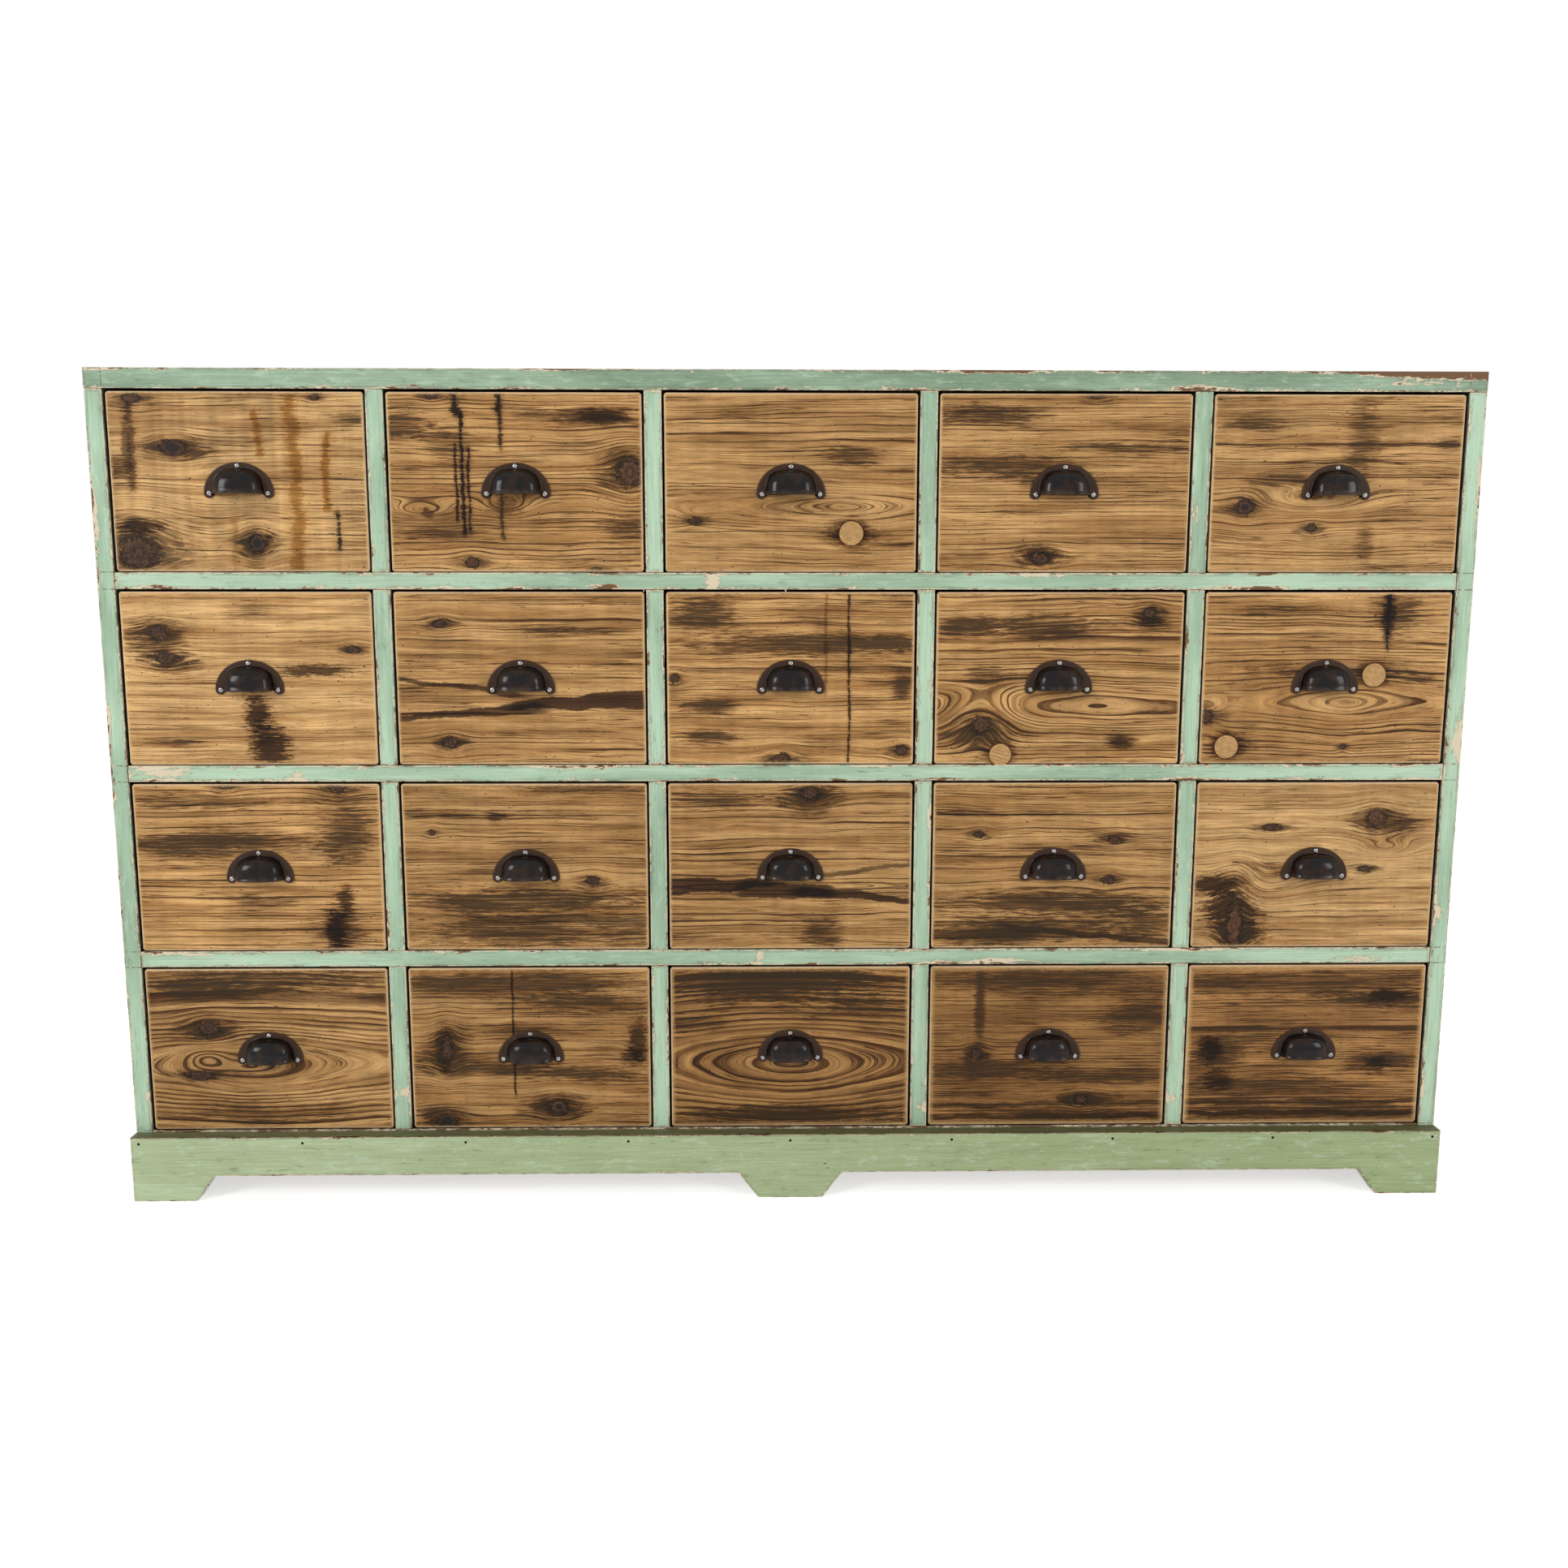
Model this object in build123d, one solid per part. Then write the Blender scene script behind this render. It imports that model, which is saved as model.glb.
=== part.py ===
"""Seed storage cabinet: a painted pine carcass on an arched plinth, with rows of dovetailed drawers,
each with a cast cup pull. Millimetres, +Z up, the front faces -Y.
Origin: the middle of the footprint, on the floor."""

from build123d import *
import math
import os

# ---- Drawer grid ----
columns = 5
rows = 4
opening_w = 351.2  # clear width of one drawer opening
opening_h = 244.5  # clear height of one drawer opening

# ---- Carcass boards ----
carcass_depth = 400.0  # front edges of the boards to the outside of the back boards
side_t = 24.0
divider_t = 24.0
shelf_t = 23.0
bottom_t = 23.0
top_t = 27.0
housing_depth = 6.0  # how far shelves and dividers are let into their neighbours
housing_stop = 14.0  # solid wood left in front of a housing, so that none shows
joint_gap = 0.15  # play in every glued or nailed joint

# ---- Back ----
back_t = 12.0
back_planks = 8
plank_gap = 1.5
rebate_w = 11.0  # how far the back boards lap on to each side panel

# ---- Plinth ----
plinth_h = 97.0
plinth_t = 22.0
bottom_reveal = 2.0  # the bottom board's edge shows this much above the plinth
arch_h = 38.0  # floor to the top of the arches
end_foot_top_w = 118.0
end_foot_floor_w = 91.0
centre_foot_top_w = 150.0
centre_foot_floor_w = 93.0
foot_corner_r = 6.0
arch_corner_r = 9.0
bearer_t = 24.0
bearer_foot = 70.0  # length of each of the bearer's two feet
glue_block_leg = 26.0
glue_block_len = 60.0
glue_blocks = 6  # along the back of the plinth, under the bottom board

# ---- Drawers ----
front_t = 20.0
front_side_gap = 2.6  # drawer front to divider, each side
front_top_gap = 3.0
slide_gap = 0.5  # under the drawer as it slides
front_recess = 2.0  # drawer front behind the carcass edges
front_chamfer = 2.0
drawer_side_t = 12.0
drawer_side_drop = 9.0  # the sides stand this much lower than the front
drawer_back_t = 12.0
drawer_back_drop = 8.0  # the back stands this much lower than the sides
drawer_rear_space = 16.0  # drawer to back boards
panel_t = 6.0
groove_depth = 5.0
groove_rise = 11.0  # lower edge of the drawer to its bottom panel
groove_gap = 0.2
stop_w = 60.0
stop_len = 30.0
stop_h = 7.0
stop_gap = 0.3

# ---- Dovetails between drawer front and sides ----
tails = 3
lap = 6.0  # wood left in front of the tails
pin_w = 12.0  # width of a pin between two tails, at their tips
tail_slope = 6.0  # one in six

# ---- Cup pull ----
dome_w = 67.0
dome_h = 33.0
dome_out = 21.0  # how far the dome stands out
dome_wall = 2.4
dome_facets = 8
dome_rise = (0.0, 25.0, 46.0, 63.0, 78.0)  # degrees up the dome, from its lip
flange_w = 95.0
flange_top = 42.5  # lip to the top of the flange
flange_t = 2.2
flange_facets = 10
ear_w = 13.0
ear_drop = 5.0  # how far the ears hang below the lip
ear_corner = 4.0
pull_rise = 3.0  # middle of the pull above the middle of the drawer front
screw_r = 3.8
screw_h = 1.8
screw_facets = 6
screw_crown = 0.6  # top of the domed head, as a share of its foot
ear_screw_x = 39.5
ear_screw_z = 1.0
top_screw_down = 4.9  # top of the flange to the middle of the top screw

# ---- Cut nails ----
nail_w = 3.4
nail_tip_w = 1.6
nail_len = 48.0
nail_inset = 70.0  # front or back of a joint to its nearest nail
plank_nail_inset = 30.0  # side of a plank to its nail
plinth_nails = 9
joint_nails = 2

# ---- Worked out from the sizes above ----
width = 2 * side_t + (columns - 1) * divider_t + columns * opening_w
floor_z = plinth_h + bottom_reveal  # top of the bottom board
top_z = floor_z + rows * opening_h + (rows - 1) * shelf_t  # underside of the top board
height = top_z + top_t
inner_x = width / 2 - side_t
bearing_z = floor_z - bottom_t  # underside of the bottom board

pull_reach = flange_t + joint_gap + dome_out - front_recess
front_reach = max(plinth_t + joint_gap, pull_reach)
front_y = front_reach - (front_reach + carcass_depth) / 2  # front edges of the boards
back_y = front_y + carcass_depth
plank_y = back_y - back_t  # inner face of the back boards
housing_y = front_y + housing_stop

front_w = opening_w - 2 * front_side_gap
front_h = opening_h - front_top_gap - slide_gap
drawer_side_h = front_h - drawer_side_drop
drawer_len = plank_y - front_y - front_recess - drawer_rear_space
drawer_inner_x = front_w / 2 - drawer_side_t

plank_reach = inner_x + rebate_w - joint_gap
plank_pitch = (2 * plank_reach + plank_gap) / back_planks


# ---- Helpers ----


def box(x, y, z):
    """A board between the given limits, which may come in either order."""
    low = Vector(min(x), min(y), min(z))
    size = Vector(max(x), max(y), max(z)) - low
    return Pos(low) * Box(size.X, size.Y, size.Z, align=Align.MIN)


def prism(points, along):
    """The flat outline through the points, extruded along a vector."""
    return extrude(make_face(Polyline(*points, close=True)), amount=along.length, dir=along)


def faceted(rings):
    """Rings of points, each a scaled copy of the one before it, closed by flat facets."""
    faces = [Face(Wire.make_polygon(ring)) for ring in (rings[0], rings[-1])]
    for low, high in zip(rings, rings[1:]):
        for i in range(len(low)):
            faces.append(Face(Wire.make_polygon([low[i - 1], low[i], high[i], high[i - 1]])))
    return Solid(Shell(faces))


def centres(count, step):
    """Places with a step between them, about zero."""
    return [(i - (count - 1) / 2) * step for i in range(count)]


def spread(count, low, high):
    """Places from low to high, evenly spaced."""
    return [low + (high - low) * i / (count - 1) for i in range(count)]


def column_x():
    """The middle of each column of drawers."""
    return centres(columns, opening_w + divider_t)


def divider_x():
    """The middle of each divider."""
    return centres(columns - 1, opening_w + divider_t)


def row_z(row):
    """The surface that a row of drawers slides on. Row 1 is the highest."""
    return floor_z + (rows - row) * (opening_h + shelf_t)


def board_spans():
    """The underside and top of each shelf and of the bottom board."""
    shelves = [(row_z(row) - shelf_t, row_z(row)) for row in range(1, rows)]
    return shelves + [(bearing_z, floor_z)]


# ---- Carcass ----


def divider_housings(z, depth):
    """The grooves that a row of dividers stands in, cut from a face at z by a signed depth."""
    half = divider_t / 2 + joint_gap
    return [box((x - half, x + half), (housing_y, plank_y), (z, z + depth)) for x in divider_x()]


def top_board():
    board = box((-width / 2, width / 2), (front_y, back_y), (top_z, height))
    return board - divider_housings(top_z, housing_depth)


def side_panel(side):
    """One side, down to the floor, housed for the boards and rebated for the back."""
    panel = box((side * inner_x, side * width / 2), (front_y, back_y), (0, top_z - joint_gap))
    housed_x = (side * inner_x, side * (inner_x + housing_depth))
    for low, high in board_spans():
        panel -= box(housed_x, (housing_y, back_y), (low - joint_gap, high + joint_gap))
    rebated_x = (side * inner_x, side * (inner_x + rebate_w))
    rebate_z = (bearing_z - joint_gap, top_z)
    return panel - box(rebated_x, (plank_y - joint_gap, back_y), rebate_z)


def housed_board(low, high):
    """A full-width board with its ends let into the sides, notched at the front to hide that."""
    short_x = inner_x - joint_gap
    long_x = inner_x + housing_depth - joint_gap
    notch_y = housing_y + joint_gap
    rear_y = plank_y - joint_gap
    right = [(short_x, front_y), (short_x, notch_y), (long_x, notch_y), (long_x, rear_y)]
    left = [(-x, y) for x, y in reversed(right)]
    return prism([(x, y, low) for x, y in right + left], Vector(0, 0, high - low))


def shelf(row):
    """The board under a row of drawers, with dividers let into both of its faces."""
    low, high = row_z(row) - shelf_t, row_z(row)
    board = housed_board(low, high) - divider_housings(high, -housing_depth)
    return board - divider_housings(low, housing_depth)


def bottom_board():
    board = housed_board(bearing_z, floor_z)
    return board - divider_housings(floor_z, -housing_depth)


def divider(x, row):
    """A short upright between two boards, notched at the front like them."""
    low = row_z(row) + joint_gap
    high = row_z(row) + opening_h - joint_gap
    notch_y = housing_y + joint_gap
    rear_y = plank_y - joint_gap
    lower = [(front_y, low), (notch_y, low), (notch_y, low - housing_depth)]
    upper = [(notch_y, high + housing_depth), (notch_y, high), (front_y, high)]
    rear = [(rear_y, low - housing_depth), (rear_y, high + housing_depth)]
    start = x - divider_t / 2
    return prism([(start, y, z) for y, z in lower + rear + upper], Vector(divider_t, 0, 0))


def dividers(row):
    return [divider(x, row) for x in divider_x()]


def back_boards():
    """Vertical planks side by side, lying in the rebates of the sides."""
    half = (plank_pitch - plank_gap) / 2
    z = (bearing_z, top_z - joint_gap)
    places = centres(back_planks, plank_pitch)
    return [box((x - half, x + half), (plank_y, back_y), z) for x in places]


# ---- Plinth ----


def plinth_front():
    """The arched board: half an outline and its mirror image, with softened corners."""
    right = [
        (centre_foot_floor_w / 2, 0),
        (centre_foot_top_w / 2, arch_h),
        (width / 2 - end_foot_top_w, arch_h),
        (width / 2 - end_foot_floor_w, 0),
        (width / 2, 0),
        (width / 2, plinth_h),
    ]
    left = [(-x, z) for x, z in reversed(right)]
    seat_y = front_y - joint_gap
    board = prism([(x, seat_y, z) for x, z in right + left], Vector(0, -plinth_t, 0))
    for z, radius in ((0, foot_corner_r), (arch_h, arch_corner_r)):
        corners = [
            edge
            for edge in board.edges().filter_by(Axis.Y)
            if abs(edge.center().Z - z) < joint_gap and abs(edge.center().X) < inner_x
        ]
        board = fillet(corners, radius)
    return board


def centre_bearer():
    """The board that props the middle of the bottom board, cut away between its two feet."""
    low_y, high_y = front_y, plank_y
    under = bearing_z - joint_gap
    front_foot = [(low_y, under), (low_y, 0), (low_y + bearer_foot, 0)]
    arch = [(low_y + bearer_foot, arch_h), (high_y - bearer_foot, arch_h)]
    rear_foot = [(high_y - bearer_foot, 0), (high_y, 0), (high_y, under)]
    outline = [(-bearer_t / 2, y, z) for y, z in front_foot + arch + rear_foot]
    return prism(outline, Vector(bearer_t, 0, 0))


def glue_block(x):
    """A three-cornered block in the angle between the plinth and the bottom board."""
    y, z = front_y, bearing_z - joint_gap
    corner = [(y, z), (y + glue_block_leg, z), (y, z - glue_block_leg)]
    start = x - glue_block_len / 2
    return prism([(start, y, z) for y, z in corner], Vector(glue_block_len, 0, 0))


def plinth_blocks():
    """Blocks evenly along the plinth, so that an even number of them clears the bearer."""
    return [glue_block(x) for x in centres(glue_blocks, width / (glue_blocks + 1))]


# ---- Drawers ----


def tail_outline(z, base_y, tip_y, grow=0.0):
    """Four corners (y, z) of a tail whose middle is at z, wider at its tip, from high to low."""
    tip = (drawer_side_h / tails - pin_w) / 2 + grow
    base = tip - (front_t - lap) / tail_slope
    return [(base_y, z + base), (tip_y, z + tip), (tip_y, z - tip), (base_y, z - base)]


def tail_z():
    """The middle of each tail, from the top of the drawer side down."""
    pitch = drawer_side_h / tails
    return [drawer_side_h / 2 - z for z in centres(tails, pitch)]


def drawer_front():
    """The front board, with half-blind sockets for the tails and a groove for the bottom."""
    half = front_w / 2
    board = box((-half, half), (0, front_t), (0, front_h))
    board = chamfer(board.faces().sort_by(Axis.Y)[0].edges(), front_chamfer)
    socket_x = drawer_side_t + joint_gap
    for z in tail_z():
        outline = tail_outline(z, front_t, lap, joint_gap)
        for start in (-half, half - socket_x):
            board -= prism([(start, y, z) for y, z in outline], Vector(socket_x, 0, 0))
    return board - panel_space(drawer_inner_x)


def panel_space(half):
    """The room that the bottom panel takes in the front and the sides, with its play."""
    y = (front_t - groove_depth - groove_gap, drawer_len)
    z = (groove_rise - groove_gap, groove_rise + panel_t + groove_gap)
    return box((-half, half), y, z)


def drawer_side(side):
    """A side with its tails at the front, grooved inside for the bottom panel."""
    shoulder_y = front_t + joint_gap
    outline = [(drawer_len, 0), (drawer_len, drawer_side_h), (shoulder_y, drawer_side_h)]
    for z in tail_z():
        outline += tail_outline(z, shoulder_y, lap + joint_gap)
    outline.append((shoulder_y, 0))
    start = side * drawer_inner_x
    board = prism([(start, y, z) for y, z in outline], Vector(side * drawer_side_t, 0, 0))
    return board - panel_space(drawer_inner_x + groove_depth)


def drawer_back():
    """The back, between the sides and on top of the bottom panel."""
    half = drawer_inner_x - joint_gap
    z = (groove_rise + panel_t + joint_gap, drawer_side_h - drawer_back_drop)
    return box((-half, half), (drawer_len - drawer_back_t, drawer_len), z)


def drawer_bottom():
    half = drawer_inner_x + groove_depth - groove_gap
    y = (front_t - groove_depth, drawer_len)
    return box((-half, half), y, (groove_rise, groove_rise + panel_t))


def drawer():
    """Every board of a drawer. The middle of the front's lower outside edge is at the origin."""
    return [drawer_front(), drawer_side(-1), drawer_side(1), drawer_back(), drawer_bottom()]


def drawer_stops():
    """A block on the board under each drawer, just behind its front."""
    y = front_y + front_recess + front_t + stop_gap
    half = stop_w / 2
    blocks = []
    for row in range(1, rows + 1):
        z = row_z(row) + joint_gap
        for x in column_x():
            blocks.append(box((x - half, x + half), (y, y + stop_len), (z, z + stop_h)))
    return blocks


# ---- Cup pull ----


def half_oval(half_x, half_y, z):
    """The corners of a half oval at height z, flat along the drawer front."""
    turns = [math.pi * i / dome_facets for i in range(dome_facets + 1)]
    return [(half_x * math.cos(turn), -half_y * math.sin(turn), z) for turn in turns]


def dome(half_x, out, rise):
    """A quarter of an egg: half ovals that shrink as they climb."""
    rings = []
    for degrees in dome_rise:
        share = math.cos(math.radians(degrees))
        z = rise * math.sin(math.radians(degrees))
        rings.append(half_oval(half_x * share, out * share, z))
    return faceted(rings)


def flange():
    """The half-oval plate with an ear hanging at each side of the mouth."""
    half = flange_w / 2
    ear_inner = half - ear_w
    right_ear = [
        (ear_inner, 0),
        (ear_inner, -ear_drop),
        (half - ear_corner, -ear_drop),
    ]
    rim = []
    for i in range(flange_facets + 1):
        turn = math.pi * i / flange_facets
        rim.append((half * math.cos(turn), flange_top * math.sin(turn)))
    left_ear = [(-x, z) for x, z in reversed(right_ear)]
    outline = [(x, 0, z) for x, z in right_ear + rim + left_ear]
    return prism(outline, Vector(0, -flange_t, 0))


def cup():
    """The casting: a hollow dome on its flange, open at the back and below."""
    half_x = dome_w / 2
    out = dome_out + flange_t
    hollow = dome(half_x - dome_wall, out - dome_wall, dome_h - dome_wall)
    return dome(half_x, out, dome_h) + flange() - hollow


def pull_screw(x, z):
    """A low domed head, seated on the flange."""
    seat_y = -flange_t - joint_gap
    turns = [2 * math.pi * i / screw_facets for i in range(screw_facets)]
    rings = []
    for radius, y in ((screw_r, seat_y), (screw_r * screw_crown, seat_y - screw_h)):
        rings.append([(x + radius * math.cos(t), y, z + radius * math.sin(t)) for t in turns])
    return faceted(rings)


def pull():
    """A pull and its screws. The middle of its lip, against the drawer front, is at the origin."""
    screws = [pull_screw(side * ear_screw_x, ear_screw_z) for side in (-1, 1)]
    screws.append(pull_screw(0, flange_top - top_screw_down))
    return [cup()] + screws


# ---- Nails ----


def nail(at, into):
    """A tapered cut nail, its head flush at a point, driven along a unit vector."""
    rings = []
    for w, down in ((nail_w, 0), (nail_tip_w, nail_len)):
        plane = Plane(at + into * down, z_dir=into)
        corners = ((-w / 2, -w / 2), (w / 2, -w / 2), (w / 2, w / 2), (-w / 2, w / 2))
        rings.append([plane.from_local_coords((u, v, 0)) for u, v in corners])
    return faceted(rings)


def joint_nail_y():
    return spread(joint_nails, front_y + nail_inset, plank_y - nail_inset)


def nails_through_sides():
    """Into the ends of the shelves and of the bottom board."""
    nails = []
    for side in (-1, 1):
        for low, high in board_spans():
            for y in joint_nail_y():
                at = Vector(side * width / 2, y, (low + high) / 2)
                nails.append(nail(at, Vector(-side, 0, 0)))
    return nails


def nails_through_top():
    """Into the side panels and the top row of dividers."""
    side_x = inner_x + side_t / 2
    nails = []
    for x in [-side_x, *divider_x(), side_x]:
        for y in joint_nail_y():
            nails.append(nail(Vector(x, y, height), Vector(0, 0, -1)))
    return nails


def nails_through_back():
    """A pair across each plank, into the highest shelf and the bottom board."""
    offset = (plank_pitch - plank_gap) / 2 - plank_nail_inset
    nails = []
    for middle in centres(back_planks, plank_pitch):
        for low, high in (board_spans()[0], board_spans()[-1]):
            for x in (middle - offset, middle + offset):
                at = Vector(x, back_y, (low + high) / 2)
                nails.append(nail(at, Vector(0, -1, 0)))
    return nails


def nails_through_plinth():
    """Into the bottom board's front edge and, at the ends, into the side panels."""
    side_x = inner_x + side_t / 2
    face_y = front_y - joint_gap - plinth_t
    z = (bearing_z + floor_z) / 2
    places = spread(plinth_nails, -side_x, side_x)
    return [nail(Vector(x, face_y, z), Vector(0, 1, 0)) for x in places]


# ---- Writing the parts ----


def save(name, shapes):
    """One file for each named sub-part, holding one or more separate solids."""
    solids = [solid for shape in shapes for solid in shape.solids()]
    export_step(Compound(solids), f"parts/{name}.step")


def save_carcass():
    save("top_board", [top_board()])
    save("left_side", [side_panel(-1)])
    save("right_side", [side_panel(1)])
    for row in range(1, rows):
        save(f"shelf_{row}", [shelf(row)])
    for row in range(1, rows + 1):
        save(f"dividers_row_{row}", dividers(row))
    save("bottom_board", [bottom_board()])
    save("back_boards", back_boards())
    save("plinth_front", [plinth_front()])
    save("centre_bearer", [centre_bearer()])
    save("plinth_blocks", plinth_blocks())
    save("drawer_stops", drawer_stops())
    save("side_nails", nails_through_sides())
    save("top_nails", nails_through_top())
    save("back_nails", nails_through_back())
    save("plinth_nails", nails_through_plinth())


def save_drawers():
    """The same drawer and pull in every opening."""
    boards, pieces = drawer(), pull()
    pull_z = front_h / 2 + pull_rise - (flange_top - ear_drop) / 2
    for row in range(1, rows + 1):
        for column, x in enumerate(column_x(), start=1):
            place = Pos(x, front_y + front_recess, row_z(row) + slide_gap)
            save(f"drawer_r{row}c{column}", [place * board for board in boards])
            seat = place * Pos(0, -joint_gap, pull_z)
            save(f"pull_r{row}c{column}", [seat * piece for piece in pieces])


os.makedirs("parts", exist_ok=True)
save_carcass()
save_drawers()
print("width", width, "depth", front_reach + carcass_depth, "height", height)
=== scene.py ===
"""Seed storage cabinet: chipped mint paint, aged pine drawer fronts and cast cup pulls,
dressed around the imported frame. Metres in the scene; values named here are in millimetres."""

import math
import random

import bmesh
import bpy
from mathutils import Matrix, Vector, noise

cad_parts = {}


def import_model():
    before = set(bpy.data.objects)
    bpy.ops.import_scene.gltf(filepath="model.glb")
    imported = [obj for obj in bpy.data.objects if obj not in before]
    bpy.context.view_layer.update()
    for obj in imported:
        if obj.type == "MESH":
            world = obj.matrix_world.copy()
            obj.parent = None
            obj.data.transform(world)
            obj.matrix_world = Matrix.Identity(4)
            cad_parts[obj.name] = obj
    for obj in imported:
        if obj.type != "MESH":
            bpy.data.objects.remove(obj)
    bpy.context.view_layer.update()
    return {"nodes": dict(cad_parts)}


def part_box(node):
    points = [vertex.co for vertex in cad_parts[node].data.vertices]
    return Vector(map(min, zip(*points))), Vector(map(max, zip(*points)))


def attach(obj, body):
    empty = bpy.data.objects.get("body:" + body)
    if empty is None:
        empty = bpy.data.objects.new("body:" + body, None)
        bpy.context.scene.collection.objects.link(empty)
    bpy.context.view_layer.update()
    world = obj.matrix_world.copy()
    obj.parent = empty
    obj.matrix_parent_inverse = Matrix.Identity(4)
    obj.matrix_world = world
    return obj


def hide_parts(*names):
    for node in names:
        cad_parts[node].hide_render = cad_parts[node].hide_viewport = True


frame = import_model()

MM = 0.001

# ---- The camera, fitted to the front plane of the cabinet in the photograph ----
photo_px = 1932
focal_px = 1760
sensor_w = 36.0
camera_from_middle = -43.3
camera_from_front = 1990.0
camera_h = 912.5
pitch_down = 8.73
yaw_right = 0.98
roll = 0.05

# ---- Sizes, read from the frame ----
columns = 5
rows = 4
SIDE_LOW, SIDE_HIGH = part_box("left_side")
FRONT_Y = SIDE_LOW.y / MM
INNER_X = -SIDE_HIGH.x / MM
TOP_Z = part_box("top_board")[0].z / MM
FLOOR_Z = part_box("bottom_board")[1].z / MM
PLINTH_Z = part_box("plinth_front")[1].z / MM
DRAWER_LOW, DRAWER_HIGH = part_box("drawer_r1c1")
FRONT_W = (DRAWER_HIGH.x - DRAWER_LOW.x) / MM
FRONT_H = (DRAWER_HIGH.z - DRAWER_LOW.z) / MM

# ---- Drawer sizes ----
front_t = 20.0
front_round = 3.0
front_corner = 4.5
front_step = 9.0  # between the outline's points, along its straight sides
front_rub = 0.8  # the most that is rubbed off a front's arris
side_t = 12.0
lap = 6.0
joint_gap = 0.15
tails = 3
pin_w = 12.0
tail_slope = 6.0
side_drop = 9.0
groove_rise = 11.0
groove_depth = 5.0
panel_t = 6.0
groove_gap = 0.2
cut_beyond = 1.0  # how far a cutter stands out of what it cuts

# ---- Cup pull sizes ----
dome_w = 67.0
dome_h = 33.0
dome_out = 23.2
dome_wall = 2.4
dome_square = 2.9  # exponent: 2 is an ellipse, more is squarer
flange_w = 95.0
flange_top = 42.5
flange_t = 2.2
ear_x = 40.6
ear_z = 1.2
ear_r = 6.9
bead_r = 0.9
bead_out = 1.2
lip_h = 3.2
lip_out = 0.7
screw_r = 3.8
screw_h = 1.8
slot_w = 1.0
slot_deep = 1.0
ear_screw = (39.5, 1.0)
top_screw = (0.0, 37.6)
dome_steps = 40
bead_steps = 48
bead_sides = 8
screw_sides = 28
rise_steps = 14
rim_steps = 36

# ---- Painted boards ----
sharp_angle = 25.0
arris = 1.1
raw_arris = 0.7
box_arris = 0.5
wear_w = 6.0  # width of the worn strip along an arris
plinth_wear_w = 4.0  # less than the radius of the feet's corners
wave_step = 16.0  # length of board between the cuts at which its arris wavers
wave_deep = 0.55
paint_reach = 32.0  # how far the paint goes in behind the front edges
patch_reach = 70.0  # how far the worn patches go in behind the front edges

# ---- Round plugs let into the fronts ----
plug_sides = 48
plug_wobble = 0.012

# ---- Stage: lamps are (place, size, watts), in metres ----
KEY_LAMP = ((-3.8, -3.4, 2.6), (1.8, 1.8), 105)
FILL_LAMP = ((3.4, -3.2, 2.0), (1.4, 1.8), 52)
REAR_LAMP = ((0.5, 3.2, 2.8), (3.0, 1.6), 55)
LAMP_AIM = (0, 0, 0.6)
ambient = 0.55
floor_reach = 30.0
floor_grey = 0.82
floor_glow = 0.60

# ---- Colours (linear) ----
MINT = (0.475, 0.650, 0.470)
MINT_GREY = (0.29, 0.425, 0.29)
# The top board's paint is a darker copy of the mint, for dirt and painted shade.
MINT_TOP_DIRT_AND_SHADE = (0.33, 0.46, 0.325)
MINT_TOP_GREY = (0.20, 0.29, 0.195)
SAGE_LIT_LEFT = (0.50, 0.60, 0.38)
SAGE = (0.35, 0.43, 0.225)
SAGE_DARK = (0.29, 0.36, 0.17)
PAINT_PALE = (0.56, 0.69, 0.53)
# Cream primer; in the lines along the arrises it is also a painted highlight.
PRIMER = (0.72, 0.62, 0.44)
BARE = (0.17, 0.085, 0.040)
DIRT_AND_SHADOW = (0.10, 0.09, 0.055)
EARLY = (0.60, 0.350, 0.138)
HONEY = (0.29, 0.135, 0.038)
SANDED = (0.66, 0.41, 0.175)
ARRIS_WEAR_AND_HIGHLIGHT = (0.78, 0.60, 0.40)
GRIME = (0.036, 0.023, 0.011)
KNOT = (0.040, 0.024, 0.017)
KNOT_PALE = (0.16, 0.070, 0.034)
TAR = (0.016, 0.013, 0.011)

# ---- Stains and tints of painted shade: what the wood's own colour is multiplied by ----
LATE_TINT = (0.21, 0.14, 0.10)
BAND_TINT = (0.13, 0.105, 0.11)
WEATHER_TINT = (0.42, 0.34, 0.27)
HALO_TINT = (0.45, 0.33, 0.24)
CHAR_TINT = (0.055, 0.055, 0.06)
EDGE_SHADE_AND_WEATHER_TINT = (0.10, 0.08, 0.07)
GAP_SHADE_AND_GRIME_TINT = (0.045, 0.04, 0.035)
LEDGE_DIRT_AND_SHADE_TINT = (0.24, 0.21, 0.15)
RAW_LATE_TINT = (0.50, 0.38, 0.30)
RAW_EARLY = (0.64, 0.44, 0.24)
PLUG_WOOD = (0.52, 0.31, 0.125)

# ---- Drips: the tint of the soft band and of its core ----
TAR_DRIP = ((0.70, 0.66, 0.62), (0.05, 0.05, 0.055))
VARNISH_DRIP = ((0.86, 0.77, 0.58), (0.60, 0.46, 0.28))
INK_DRIP = ((0.55, 0.56, 0.62), (0.07, 0.09, 0.16))
OLD_DRIP = ((0.80, 0.72, 0.64), (0.22, 0.16, 0.12))

# ---- Metal colours (linear) ----
BRONZE = (0.007, 0.005, 0.005)
BRONZE_BROWN = (0.040, 0.017, 0.007)
BRONZE_RUBBED = (0.07, 0.042, 0.028)
STEEL = (0.32, 0.30, 0.28)
STEEL_DARK = (0.035, 0.025, 0.020)


# ---- Shading written as arithmetic ----


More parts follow.
